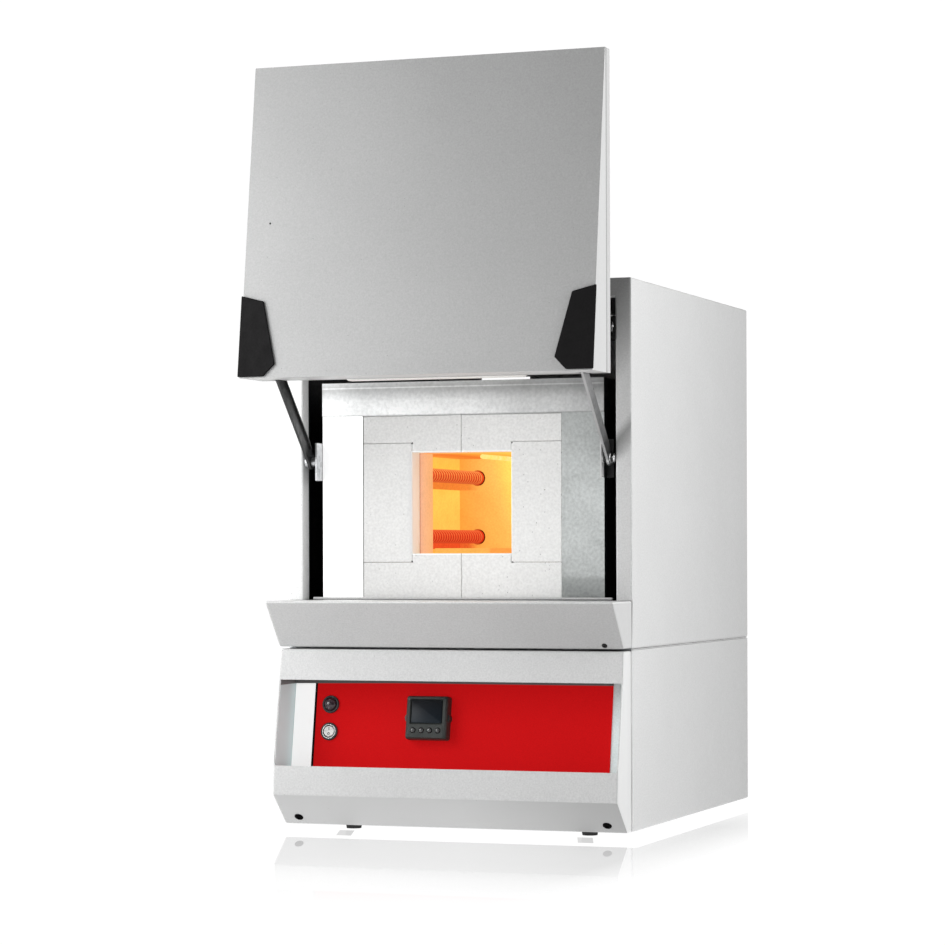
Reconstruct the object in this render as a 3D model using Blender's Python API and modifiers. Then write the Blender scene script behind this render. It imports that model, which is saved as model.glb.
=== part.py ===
"""A bench chamber furnace with its door swung up and forward on four parallel arms.

X runs to the right, Y to the back and Z up, in metres. The places below are measured from the
middle of the case's front plane at floor level, and the whole furnace is then shifted so that the
origin lies under the middle of its outer box. Every piece is one object, and each moving piece
hangs from an empty on its joint's axis.
"""

import math

import bmesh
import bpy
from mathutils import Matrix, Vector

# Case
BODY_WIDTH = 0.435
BODY_TOP = 0.655
BODY_DEPTH = 0.522
FOOT_HEIGHT = 0.009
CASE_SPLIT = 0.222
CASE_GAP = 0.003
DECK_RECESS = 0.001
SHEET = 0.0015
FIT = 0.0003
FOLD_RADIUS = 0.002
CUT_OVERRUN = 0.004
POST_WIDTH = 0.0195
HEADER_HEIGHT = 0.022
POST_RETURN = 0.020

# Feet
FOOT_RADIUS = 0.0105
FOOT_TREAD_RADIUS = 0.009
FOOT_INSET_X = 0.0667
FOOT_FRONT_Y = 0.045
FOOT_REAR_Y = 0.487

# Sill under the throat
SILL_TRIM = 0.0016
SILL_TOP = 0.2782
SILL_REACH = 0.0744
SILL_BOTTOM = 0.2229
SILL_BOTTOM_REACH = 0.0301
SILL_FOLD = 0.0034
LEDGE_DEPTH = 0.0165
LEDGE_TRIM = 0.0002
LEDGE_OVERLAP = 0.004

# Fascia: the folded front of the lower case
STRIP_TOP = 0.2201
STRIP_TOP_REACH = 0.0275
STRIP_BOTTOM = 0.1831
STRIP_BOTTOM_REACH = 0.0309
CHIN_TOP = 0.0812
CHIN_TOP_REACH = 0.0509
CHIN_BREAK = 0.0463
CHIN_BREAK_REACH = 0.0537
CHIN_BOTTOM_REACH = 0.0146
FASCIA_TUCK = 0.022
LIP_DEPTH = 0.046
LIP_DROP = 0.007
EAVE_DEPTH = 0.040
LIP_SETBACK = 0.003
SEAM = 0.0005
CHIN_HOLE_RADIUS = 0.0045
CHIN_HOLE_INSET = 0.024
CHIN_HOLE_Z = 0.0182

# Control panel: a plate set back between the cheeks
PANEL_Y = 0.008
PANEL_Z = 0.132
PANEL_TILT = math.radians(9.46)
PANEL_HEIGHT = 0.124
LABEL_MARGIN_LEFT = 0.0004
LABEL_MARGIN_RIGHT = 0.0239
LABEL_HEIGHT = 0.118
LABEL_THICKNESS = 0.0005

# Temperature controller
CONTROLLER_X = -0.037
CONTROLLER_UP = 0.0042
CONTROLLER_SIZE = 0.048
CONTROLLER_REACH = 0.014
CONTROLLER_BODY = 0.0446
CONTROLLER_BODY_DEPTH = 0.060
CONTROLLER_EDGE = 0.0012
SCREEN_WIDTH = 0.042
SCREEN_HEIGHT = 0.0275
SCREEN_UP = 0.0070
SCREEN_DEPTH = 0.0015
EAR_HEIGHT = 0.012
EAR_REACH = 0.0015
EAR_DEPTH = 0.007
EAR_RISE = 0.0025
BUTTON_COUNT = 4
BUTTON_PITCH = 0.0105
BUTTON_DROP = 0.0155
BUTTON_RADIUS = 0.0026
BUTTON_REACH = 0.0012
BUTTON_LENGTH = 0.004
BUTTON_TRAVEL = 0.0008
BUTTON_CROWN = 0.0005
BUTTON_CLEARANCE = 0.00035

# Round pilot lamp and round rocker switch
ROUND_INSET = 0.0479
LAMP_UP = 0.020
SWITCH_UP = -0.013
ROUND_RADIUS = 0.0108
ROUND_RIM = 0.0024
ROUND_LIP = 0.0008
STEM_RADIUS = 0.0096
STEM_LENGTH = 0.024
LENS_RADIUS = 0.0078
LENS_CROWN = 0.0042
ROCKER_RADIUS = 0.0068
ROCKER_CLEARANCE = 0.0005
ROCKER_CROWN = 0.0022
ROCKER_CROWN_RADIUS = 0.0063
ROCKER_DROP = 0.0030
ROCKER_FOOT_RADIUS = 0.0056
ROCKER_PIVOT_UP = 0.0012
ROCKER_POCKET = 0.0075
ROCKER_VALLEY = 0.0010
ROCKER_FLAT = 0.0008
ROCKER_REST = math.radians(-9)

# Chamber box: the sheet metal case that holds the insulation
BOX_ARM_GAP = 0.0103
BOX_TOP = 0.540
BOX_FRONT = 0.0171
BOX_DEPTH = 0.380
FACE_WIDTH = 0.2528
FACE_TOP = 0.4997
FACE_BOTTOM = 0.280
BAND_THICKNESS = 0.0012

# Bricks, lining and hearth
BRICK_FRONT = 0.0175
BRICK_DEPTH = 0.026
BRICK_JOINT = 0.0004
BRICK_CHAMFER = 0.0008
THROAT_WIDTH = 0.126
THROAT_BOTTOM = 0.334
THROAT_TOP = 0.4552
JOINT_HIGH = 0.4666
JOINT_LOW = 0.3234
THROAT_RING_DEPTH = 0.044
CHAMBER_WIDTH = 0.207
CHAMBER_FLOOR = 0.332
CHAMBER_DEPTH = 0.205
REAR_WALL = 0.050
TILE_WIDTH = 0.124
TILE_LENGTH = 0.200
TILE_THICKNESS = 0.008
TILE_SETBACK = 0.002

# Heating elements: silicon carbide rods with a spiral cut
ELEMENT_X = 0.079
ELEMENT_Z = 0.3928
ELEMENT_RISE = 0.0378
ELEMENT_RADIUS = 0.0085
ELEMENT_BORE_CLEARANCE = 0.0006
WALL_BORE_CLEARANCE = 0.0018
ELEMENT_TIP_Y = 0.093
ELEMENT_END_Y = 0.455
ELEMENT_PLAIN_TIP = 0.004
SPIRAL_END_Y = 0.287
SPIRAL_PITCH = 0.0085
SPIRAL_DEPTH = 0.0015
SPIRAL_RINGS = 3
ELEMENT_SIDES = 8

# Terminal straps and thermocouple
STRAP_Y = 0.432
STRAP_THICKNESS = 0.003
STRAP_RADIUS = 0.0145
THERMOCOUPLE_X = -0.004
THERMOCOUPLE_RADIUS = 0.0028
THERMOCOUPLE_DROP = 0.0004
THERMOCOUPLE_TIP_Y = 0.100
THERMOCOUPLE_HEAD_RADIUS = 0.011
THERMOCOUPLE_HEAD_LENGTH = 0.030
THERMOCOUPLE_GAP = 0.0006

# Parallel arms
PIVOT_Y = 0.005
LOWER_PIVOT_Z = 0.445
PIVOT_SPACING = 0.152
ARM_LENGTH = 0.1475
OPEN_ANGLE = math.radians(45.5)
ARM_INSET = 0.009
ARM_THICKNESS = 0.003
ARM_WIDTH = 0.016
ARM_BOSS_RADIUS = 0.009
ARM_FLANGE = 0.0025
ARM_FLANGE_SETBACK = 0.0145
ARM_FLANGE_SHEET = 0.0012
ARM_FLANGE_DROP = 0.0004
PIN_RADIUS = 0.004
PIN_CLEARANCE = 0.0004
PIN_COLLAR_RADIUS = 0.0055
PIN_HEAD_RADIUS = 0.0065
PIN_HEAD = 0.004
PIN_CLIP = 0.001
SHAFT_RADIUS = 0.005
JOURNAL_RADIUS = 0.003

# Brackets that carry the arms on the case
BRACKET_SHEET = 0.002
BRACKET_HEIGHT = 0.045
BRACKET_FRONT = -0.0013
BRACKET_DEPTH = 0.044
BRACKET_FLANGE = 0.0105
BRACKET_FLANGE_Y = 0.020
RAIL_SHEET = 0.0025
RAIL_HEIGHT = 0.028
RAIL_WEB_Y = 0.022
SWITCH_WIDTH = 0.010
SWITCH_HEIGHT = 0.016
SWITCH_LENGTH = 0.028
SWITCH_INSET = 0.048
SWITCH_ROLLER_RADIUS = 0.003

# Door, measured from its bottom edge and its back plane
DOOR_TRIM = 0.0026
DOOR_HEIGHT = 0.369
DOOR_PIVOT_RISE = 0.0112
DOOR_PIVOT_INSET = 0.0211
TRAY_DEPTH = 0.015
DOOR_TOP_DEPTH = 0.0177
DOOR_BOTTOM_DEPTH = 0.0676
ARM_SLOT_SIDE = 0.005
ARM_SLOT_TOP = 0.319
ARM_SLOT_FRONT = 0.0265
PLUG_WIDTH = 0.222
PLUG_HEIGHT = 0.214
PLUG_DEPTH = 0.0186
PLUG_DROP = 0.0015
PLUG_CHAMFER = 0.003
HINGE_SHEET = 0.002
HINGE_HEIGHT = 0.172
HINGE_FOOT = 0.0025
HINGE_FLANGE = 0.013
HINGE_NOSE = 0.0105

# Black grips on the door's lower corners
GRIP_THICKNESS = 0.0026
GRIP_OVERHANG = 0.0015
GRIP_TOP_INNER = 0.027
GRIP_TOP = 0.0975
GRIP_TOP_DROP = 0.0072
GRIP_WAIST_INNER = 0.045
GRIP_WAIST = 0.0156
GRIP_FOOT_INNER = 0.031
GRIP_FOOT = 0.0012
GRIP_EDGE = 0.0008

# Back of the case
GUARD_WIDTH = 0.260
GUARD_HEIGHT = 0.150
GUARD_DEPTH = 0.013
GUARD_Z = 0.3945
GUARD_SHEET = 0.0012
GUARD_SLOT_WIDTH = 0.060
GUARD_SLOT_HEIGHT = 0.005
GUARD_SLOT_PITCH_X = 0.078
GUARD_SLOT_PITCH_Z = 0.014
GUARD_SLOT_COLUMNS = 3
GUARD_SLOT_ROWS = 8
WINDOW_WIDTH = 0.220
WINDOW_HEIGHT = 0.120
VENT_WIDTH = 0.070
VENT_HEIGHT = 0.005
VENT_PITCH = 0.014
VENT_ROWS = 5
VENT_X = 0.120
VENT_UPPER_Z = 0.585
VENT_LOWER_Z = 0.150
GLAND_INSET = 0.0675
GLAND_Z = 0.060
GLAND_RADIUS = 0.010
GLAND_NUT_RADIUS = 0.014
GLAND_NUT = 0.006
GLAND_NUT_SIDES = 6
GLAND_NUT_TURN = 11
GLAND_DOME_RADIUS = 0.0115
GLAND_REACH = 0.006
GLAND_EDGE = 0.002
GLAND_BORE = 0.005
GLAND_TAIL = 0.010

# Power controller on its heat sink, in the lower case
HEAT_SINK_WIDTH = 0.120
HEAT_SINK_BASE = 0.008
HEAT_SINK_FIN = 0.040
HEAT_SINK_FIN_THICKNESS = 0.003
HEAT_SINK_FINS = 8
HEAT_SINK_LENGTH = 0.110
HEAT_SINK_X = 0.060
HEAT_SINK_Y = 0.330
THYRISTOR_WIDTH = 0.046
THYRISTOR_LENGTH = 0.060
THYRISTOR_HEIGHT = 0.028

# Fineness of round shapes
ROUND_STEPS = 24
BORE_STEPS = 16
SMALL_STEPS = 12
ARC_STEPS = 6
FOLD_SEGMENTS = 2
FOLD_ANGLE = math.radians(12)
SHARP_ANGLE = math.radians(35)

# Sizes that follow from the ones above
HALF_WIDTH = BODY_WIDTH / 2
UPPER_CASE_BOTTOM = CASE_SPLIT + CASE_GAP / 2
LOWER_CASE_TOP = CASE_SPLIT - CASE_GAP / 2
INSIDE_HALF = HALF_WIDTH - SHEET - FIT
OPENING_HALF = HALF_WIDTH - POST_WIDTH
OPENING_TOP = BODY_TOP - HEADER_HEIGHT
DECK_TOP = UPPER_CASE_BOTTOM - FIT
DECK_BOTTOM = LOWER_CASE_TOP + FIT
UPPER_PIVOT_Z = LOWER_PIVOT_Z + PIVOT_SPACING
ARM_X = OPENING_HALF - ARM_INSET
ARM_SLOT_INNER = ARM_X - ARM_SLOT_SIDE
ARM_SLOT_OUTER = ARM_X + ARM_SLOT_SIDE
BOX_HALF = ARM_X - BOX_ARM_GAP
FOOT_X = HALF_WIDTH - FOOT_INSET_X
SILL_WIDTH = BODY_WIDTH - SILL_TRIM
DOOR_WIDTH = BODY_WIDTH - DOOR_TRIM
CHIN_HOLE_X = HALF_WIDTH - CHIN_HOLE_INSET
SWITCH_X = OPENING_HALF - SWITCH_INSET
GLAND_X = HALF_WIDTH - GLAND_INSET
BOX_BACK = BOX_FRONT + BOX_DEPTH
BOX_BOTTOM = DECK_TOP + FIT
FACE_HALF = FACE_WIDTH / 2
CORE_HALF = FACE_HALF - FIT
CORE_TOP = FACE_TOP - FIT
THROAT_HALF = THROAT_WIDTH / 2
RING_FRONT = BRICK_FRONT + BRICK_DEPTH + FIT
RING_BACK = RING_FRONT + THROAT_RING_DEPTH
LINING_FRONT = RING_BACK + FIT
LINING_BACK = LINING_FRONT + CHAMBER_DEPTH
REAR_WALL_FRONT = LINING_BACK + FIT
REAR_WALL_BACK = REAR_WALL_FRONT + REAR_WALL
ELEMENT_BORE = ELEMENT_RADIUS + ELEMENT_BORE_CLEARANCE
WALL_BORE = ELEMENT_RADIUS + WALL_BORE_CLEARANCE
THERMOCOUPLE_Z = THROAT_TOP - THERMOCOUPLE_DROP - THERMOCOUPLE_RADIUS
THERMOCOUPLE_BORE = THERMOCOUPLE_RADIUS + THERMOCOUPLE_GAP
PIN_BORE = PIN_RADIUS + PIN_CLEARANCE
PANEL_HALF = INSIDE_HALF - SHEET - FIT
LABEL_LEFT = PANEL_HALF - LABEL_MARGIN_LEFT
LABEL_RIGHT = PANEL_HALF - LABEL_MARGIN_RIGHT
ROUND_X = ROUND_INSET - PANEL_HALF
DOOR_SHIFT_Y = PIVOT_Y - ARM_LENGTH * math.cos(OPEN_ANGLE)
DOOR_SHIFT_Z = ARM_LENGTH * math.sin(OPEN_ANGLE)
DOOR_BACK = DOOR_SHIFT_Y + DOOR_PIVOT_INSET
DOOR_BOTTOM = LOWER_PIVOT_Z + DOOR_SHIFT_Z - DOOR_PIVOT_RISE
DOOR_SLOPE = math.atan2(DOOR_BOTTOM_DEPTH - DOOR_TOP_DEPTH, DOOR_HEIGHT)
GRIP_FOOT_DEPTH = DOOR_BOTTOM_DEPTH - (GRIP_FOOT + GRIP_EDGE) * math.sin(DOOR_SLOPE)
FRONT_REACH = DOOR_BACK - GRIP_FOOT_DEPTH - (FIT + GRIP_THICKNESS) * math.cos(DOOR_SLOPE)
REAR_REACH = BODY_DEPTH + FIT + GUARD_DEPTH
MIDDLE_Y = (FRONT_REACH + REAR_REACH) / 2
SIDES = (("left", -1), ("right", 1))

TURN_TO_BACK = Matrix.Rotation(math.radians(-90), 4, "X")
UPRIGHT = Matrix.Rotation(math.radians(90), 4, "X")
ACROSS = Matrix(((0, 0, 1, 0), (1, 0, 0, 0), (0, 1, 0, 0), (0, 0, 0, 1)))


def clear_scene():
    for old in list(bpy.data.objects):
        bpy.data.objects.remove(old, do_unlink=True)
    for old in list(bpy.data.collections):
        bpy.data.collections.remove(old)


def collection(name):
    made = bpy.data.collections.new(name)
    bpy.context.scene.collection.children.link(made)
    return made


clear_scene()
PARTS = collection("chamber_furnace")
CUTTERS = collection("cutters")


def finish(name, colour, roughness, metallic=0.0, alpha=1.0):
    made = bpy.data.materials.new(name)
    made.use_nodes = True
    shader = made.node_tree.nodes["Principled BSDF"]
    shader.inputs["Base Color"].default_value = (*colour, 1.0)
    shader.inputs["Roughness"].default_value = roughness
    shader.inputs["Metallic"].default_value = metallic
    shader.inputs["Alpha"].default_value = alpha
    made.diffuse_color = (*colour, 1.0)
    return made


def powder_coat(name, shade):
    return finish(name, (shade, shade, shade), 0.55)


def metal(name, shade, roughness=0.35):
    return finish(name, (shade, shade, shade), roughness, metallic=1.0)


def refractory(name, shade=0.86):
    return finish(name, (shade, shade, shade * 0.98), 0.95)


def plastic(name, shade=0.015, roughness=0.4):
    return finish(name, (shade, shade, shade), roughness)


def empty(name, place, parent=None):
    made = bpy.data.objects.new(name, None)
    made.location = place
    made.parent = parent
    PARTS.objects.link(made)
    return made


def add(name, bm, material=None, parent=None, place=(0, 0, 0), home=PARTS):
    """Makes an object of bm, with its origin at place under its parent."""
    face_outwards(bm)
    mesh = bpy.data.meshes.new(name)
    bm.to_mesh(mesh)
    bm.free()
    made = bpy.data.objects.new(name, mesh)
    made.parent = parent
    made.location = place
    home.objects.link(made)
    if material:
        mesh.materials.append(material)
    return made


def face_outwards(bm):
    """Turns all faces outwards, also those of a surface that is still open."""
    bmesh.ops.recalc_face_normals(bm, faces=bm.faces)
    corners = [corner.co for corner in bm.verts]
    low = Vector([min(values) for values in zip(*corners)])
    high = Vector([max(values) for values in zip(*corners)])
    middle = (low + high) / 2
    flux = 0
    for face in bm.faces:
        flux += face.calc_area() * face.normal.dot(face.calc_center_median() - middle)
    if flux < 0:
        bmesh.ops.reverse_faces(bm, faces=bm.faces)


def smooth(obj):
    obj.data.shade_smooth()
    obj.data.set_sharp_from_angle(angle=SHARP_ANGLE)
    return obj


def block(low, high):
    """A box between two corners."""
    low, high = Vector(low), Vector(high)
    size = Matrix.Diagonal((*(high - low), 1))
    bm = bmesh.new()
    bmesh.ops.create_cube(bm, size=1, matrix=Matrix.Translation((low + high) / 2) @ size)
    return bm


def arc(middle, radius, first, last, steps):
    """Points on a round stretch, with angles in degrees."""
    turns = [math.radians(first + (last - first) * step / steps) for step in range(steps + 1)]
    return [(middle[0] + radius * math.cos(turn), middle[1] + radius * math.sin(turn)) for turn in turns]


def ring(middle, radius, steps=SMALL_STEPS):
    return arc(middle, radius, 0, 360, steps)[:-1]


def rectangle(low, high):
    return [low, (high[0], low[1]), high, (low[0], high[1])]


def extruded(outline, thickness, turn=Matrix.Identity(4)):
    """A flat outline, as thick as given about its plane, as a bmesh turned by turn."""
    bm = bmesh.new()
    face = bm.faces.new([bm.verts.new((x, y, -thickness / 2)) for x, y in outline])
    made = bmesh.ops.extrude_face_region(bm, geom=[face])["geom"]
    raised = [corner for corner in made if isinstance(corner, bmesh.types.BMVert)]
    bmesh.ops.translate(bm, verts=raised, vec=(0, 0, thickness))
    bmesh.ops.transform(bm, matrix=turn, verts=bm.verts)
    bmesh.ops.recalc_face_normals(bm, faces=bm.faces)
    return bm


def pierced(outline, holes, thickness, turn=Matrix.Identity(4)):
    """A flat outline with holes in it, drawn as a filled curve, as a bmesh turned by turn."""
    curve = bpy.data.curves.new("outline", "CURVE")
    curve.dimensions = "2D"
    curve.fill_mode = "BOTH"
    curve.extrude = thickness / 2
    for points in (outline, *holes):
        spline = curve.splines.new("POLY")
        spline.points.add(len(points) - 1)
        for point, (x, y) in zip(spline.points, points):
            point.co = (x, y, 0, 1)
        spline.use_cyclic_u = True
    drawn = bpy.data.objects.new("outline", curve)
    PARTS.objects.link(drawn)
    bpy.context.view_layer.update()
    graph = bpy.context.evaluated_depsgraph_get()
    mesh = bpy.data.meshes.new_from_object(drawn.evaluated_get(graph))
    bm = bmesh.new()
    bm.from_mesh(mesh)
    bmesh.ops.remove_doubles(bm, verts=bm.verts, dist=0.00001)
    bmesh.ops.transform(bm, matrix=turn, verts=bm.verts)
    bpy.data.objects.remove(drawn)
    bpy.data.meshes.remove(mesh)
    return bm


def profile_across(outline, width):
    """A side view's outline, as (y, z) points, as wide as given about the middle."""
    return extruded(outline, width, ACROSS)


def turned(name, profile, steps, material=None, parent=None, place=(0, 0, 0), turn=None, home=PARTS):
    """A turned piece: (radius, height) points down its outer side, from axis to axis."""
    bm = bmesh.new()
    points = [bm.verts.new((radius, 0, height)) for radius, height in profile]
    for first, second in zip(points, points[1:]):
        bm.edges.new((first, second))
    mesh = bpy.data.meshes.new(name)
    bm.to_mesh(mesh)
    bm.free()
    made = bpy.data.objects.new(name, mesh)
    made.parent = parent
    made.location = place
    if turn:
        made.rotation_euler = turn.to_euler()
    home.objects.link(made)
    if material:
        mesh.materials.append(material)
    spin = made.modifiers.new("turned", "SCREW")
    spin.steps = steps
    spin.render_steps = steps
    spin.use_merge_vertices = True
    spin.merge_threshold = 0.00001
    spin.use_smooth_shade = False
    return made


def rod(bm, start, end, radius, steps=SMALL_STEPS):
    """Adds a closed cylinder between two points."""
    start, end = Vector(start), Vector(end)
    run = end - start
    facing = run.to_track_quat("Z", "Y").to_matrix().to_4x4()
    place = Matrix.Translation((start + end) / 2) @ facing
    bmesh.ops.create_cone(
        bm, cap_ends=True, segments=steps, radius1=radius, radius2=radius, depth=run.length, matrix=place
    )
    return bm


def sheet(obj, thickness=SHEET, fold=FOLD_RADIUS, measure="OFFSET"):
    """Folds an open surface out of sheet metal, which lies on its inner side."""
    if fold:
        bend = obj.modifiers.new("folds", "BEVEL")
        bend.offset_type = measure
        bend.width = fold
        bend.segments = FOLD_SEGMENTS
        bend.limit_method = "ANGLE"
        bend.angle_limit = FOLD_ANGLE
    wall = obj.modifiers.new("sheet", "SOLIDIFY")
    wall.thickness = thickness
    wall.offset = -1
    wall.use_even_offset = True
    return obj


def chamfer(obj, width, segments=1):
    edge = obj.modifiers.new("edges", "BEVEL")
    edge.width = width
    edge.segments = segments
    edge.limit_method = "ANGLE"
    return obj


def hide(cutter):
    cutter.hide_render = True
    cutter.display_type = "WIRE"
    return cutter


def cut(obj, bm, name, operation="DIFFERENCE"):
    """Cuts bm out of obj, or joins it on. Both are in the coordinates of obj's parent."""
    tool = hide(add(name, bm, parent=obj.parent, home=CUTTERS))
    change = obj.modifiers.new(name, "BOOLEAN")
    change.operation = operation
    change.object = tool
    return obj


def joined(obj, bm, name):
    return cut(obj, bm, name, "UNION")


def drop_faces(bm, unwanted):
    """Opens a surface by deleting the faces that the test picks."""
    picked = [face for face in bm.faces if unwanted(face)]
    bmesh.ops.delete(bm, geom=picked, context="FACES")


def split(bm, faces, place, normal):
    """Draws a straight line across some faces."""
    around = list({edge for face in faces for edge in face.edges})
    corners = list({corner for face in faces for corner in face.verts})
    bmesh.ops.bisect_plane(bm, geom=faces + around + corners, plane_co=place, plane_no=normal, dist=0.000001)


def fold_edges(bm):
    """Rounds every fold of an open sheet."""
    folds = [edge for edge in bm.edges if edge.is_manifold and edge.calc_face_angle() > FOLD_ANGLE]
    bmesh.ops.bevel(bm, geom=folds, offset=FOLD_RADIUS, segments=FOLD_SEGMENTS, profile=0.5, affect="EDGES")


def pull_edges(bm, wanted, shift):
    """Folds a flange off the open edges that the test picks."""
    edges = [edge for edge in bm.edges if edge.is_boundary and wanted(*[end.co for end in edge.verts])]
    made = bmesh.ops.extrude_edge_only(bm, edges=edges)["geom"]
    corners = [corner for corner in made if isinstance(corner, bmesh.types.BMVert)]
    bmesh.ops.translate(bm, verts=corners, vec=shift)


def frame_front(bm, front, half, low, high):
    """Opens a window in the front face at y = front, between -half and half, low and high."""
    for place, normal in (
        ((-half, 0, 0), (1, 0, 0)),
        ((half, 0, 0), (1, 0, 0)),
        ((0, 0, low), (0, 0, 1)),
        ((0, 0, high), (0, 0, 1)),
    ):
        faces = [face for face in bm.faces if abs(face.calc_center_median().y - front) < FIT]
        split(bm, faces, place, normal)


def at_front(face, front):
    return abs(face.calc_center_median().y - front) < FIT


def upper_case(base):
    low = (-HALF_WIDTH, 0, UPPER_CASE_BOTTOM)
    bm = block(low, (HALF_WIDTH, BODY_DEPTH, BODY_TOP))
    drop_faces(bm, lambda face: face.normal.z < -0.5 or face.normal.y > 0.5)
    frame_front(bm, 0, OPENING_HALF, SILL_TOP + FIT, OPENING_TOP)

    def open_front(face):
        middle = face.calc_center_median()
        inside = abs(middle.x) < OPENING_HALF and middle.z < OPENING_TOP
        return at_front(face, 0) and (inside or middle.z < SILL_TOP)

    drop_faces(bm, open_front)

    def window_edge(start, end):
        return all(
            abs(corner.y) < FIT and abs(corner.x) < OPENING_HALF + FIT and corner.z < OPENING_TOP + FIT
            for corner in (start, end)
        )

    pull_edges(bm, window_edge, (0, POST_RETURN, 0))
    return sheet(add("upper_case", bm, powder_coat("case_paint", 0.72), base))


def lower_case(base):
    low = (-HALF_WIDTH, SEAM, FOOT_HEIGHT)
    bm = block(low, (HALF_WIDTH, BODY_DEPTH, LOWER_CASE_TOP))
    drop_faces(bm, lambda face: face.normal.z > 0.5 or abs(face.normal.y) > 0.5)
    return sheet(add("lower_case", bm, powder_coat("lower_case_paint", 0.72), base))


def deck_plate(base):
    half = HALF_WIDTH - DECK_RECESS
    bm = block((-half, SEAM, DECK_BOTTOM), (half, BODY_DEPTH - SEAM, DECK_TOP))
    return add("deck_plate", bm, metal("deck_zinc", 0.55, 0.45), base)


def foot(base, name, x, y):
    profile = [
        (0, FOOT_HEIGHT - FIT),
        (FOOT_RADIUS, FOOT_HEIGHT - FIT),
        (FOOT_TREAD_RADIUS, 0),
        (0, 0),
    ]
    rubber = plastic(name + "_rubber", 0.02, 0.8)
    return turned(name, profile, ROUND_STEPS, rubber, base, (x, y, 0))


def feet(base):
    for end, y in (("front", FOOT_FRONT_Y), ("rear", FOOT_REAR_Y)):
        for side, sign in SIDES:
            foot(base, f"foot_{end}_{side}", sign * FOOT_X, y)


def sill(base):
    """A folded wedge, open at its back, with a ledge of the same sheet under the bricks."""
    outline = [
        (0, SILL_TOP),
        (-SILL_REACH, SILL_TOP),
        (-SILL_BOTTOM_REACH, SILL_BOTTOM),
        (0, SILL_BOTTOM),
    ]
    bm = profile_across(outline, SILL_WIDTH)
    drop_faces(bm, lambda face: face.normal.y > 0.5)
    shell = sheet(add("sill", bm, powder_coat("sill_paint", 0.66), base), fold=SILL_FOLD, measure="WIDTH")
    low = (-OPENING_HALF, -LEDGE_OVERLAP, SILL_TOP - SHEET + LEDGE_TRIM)
    return joined(shell, block(low, (OPENING_HALF, LEDGE_DEPTH, SILL_TOP - LEDGE_TRIM)), "ledge")


def fascia(base):
    tuck_floor = FOOT_HEIGHT + SHEET + FIT
    outline = [
        (FASCIA_TUCK, STRIP_TOP),
        (-STRIP_TOP_REACH, STRIP_TOP),
        (-STRIP_BOTTOM_REACH, STRIP_BOTTOM),
        (-CHIN_TOP_REACH, CHIN_TOP),
        (-CHIN_BREAK_REACH, CHIN_BREAK),
        (-CHIN_BOTTOM_REACH, FOOT_HEIGHT),
        (0, FOOT_HEIGHT),
        (0, tuck_floor),
        (FASCIA_TUCK, tuck_floor),
    ]
    bm = profile_across(outline, 2 * INSIDE_HALF)

    def opening(face):
        middle = face.calc_center_median()
        window = CHIN_TOP < middle.z < STRIP_BOTTOM and face.normal.y < -0.5
        behind = middle.y > -FIT and face.normal.y > -0.5 and abs(face.normal.x) < 0.5
        return window or (behind and middle.z < STRIP_TOP - FIT)

    drop_faces(bm, opening)
    fold_edges(bm)
    end = INSIDE_HALF - LIP_SETBACK
    for x in (-end, end):
        split(bm, [face for face in bm.faces if abs(face.normal.x) < 0.01], (x, 0, 0), (1, 0, 0))
    for height, shift in ((CHIN_TOP, (0, LIP_DEPTH, -LIP_DROP)), (STRIP_BOTTOM, (0, EAVE_DEPTH, 0))):

        def window_edge(*ends):
            return all(abs(point.z - height) < FIT and abs(point.x) < end + FIT for point in ends)

        pull_edges(bm, window_edge, shift)
    shell = sheet(add("fascia", bm, powder_coat("fascia_paint", 0.70), base), fold=0)
    slope = Vector((0, CHIN_BREAK - FOOT_HEIGHT, CHIN_BREAK_REACH - CHIN_BOTTOM_REACH)).normalized()
    share = (CHIN_HOLE_Z - FOOT_HEIGHT) / (CHIN_BREAK - FOOT_HEIGHT)
    hole_y = -CHIN_BOTTOM_REACH - share * (CHIN_BREAK_REACH - CHIN_BOTTOM_REACH)
    holes = bmesh.new()
    for _, sign in SIDES:
        middle = Vector((sign * CHIN_HOLE_X, hole_y, CHIN_HOLE_Z))
        reach = slope * CUT_OVERRUN
        rod(holes, middle - reach, middle + reach, CHIN_HOLE_RADIUS)
    return cut(shell, holes, "chin_holes")


def panel_holes(controller_half, round_radius):
    middle = (CONTROLLER_X, CONTROLLER_UP)
    low = (middle[0] - controller_half, middle[1] - controller_half)
    high = (middle[0] + controller_half, middle[1] + controller_half)
    rounds = [ring((ROUND_X, up), round_radius, ROUND_STEPS) for up in (LAMP_UP, SWITCH_UP)]
    return [rectangle(low, high), *rounds]


def lifted(bm, height):
    bmesh.ops.translate(bm, verts=bm.verts, vec=(0, 0, height))
    return bm


def control_panel(frame):
    """The plate and its overlay, in the plane of the panel: x, up the slope and outwards."""
    holes = panel_holes(CONTROLLER_BODY / 2 + FIT, STEM_RADIUS + FIT)
    half = PANEL_HEIGHT / 2
    plate = pierced(rectangle((-PANEL_HALF, -half), (PANEL_HALF, half)), holes, SHEET)
    add("control_panel", lifted(plate, -SHEET / 2), powder_coat("panel_paint", 0.68), frame)
    half = LABEL_HEIGHT / 2
    label = pierced(rectangle((-LABEL_LEFT, -half), (LABEL_RIGHT, half)), holes, LABEL_THICKNESS)
    red = finish("label_red", (0.58, 0.010, 0.012), 0.4)
    add("panel_label", lifted(label, FIT + LABEL_THICKNESS / 2), red, frame)


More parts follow.
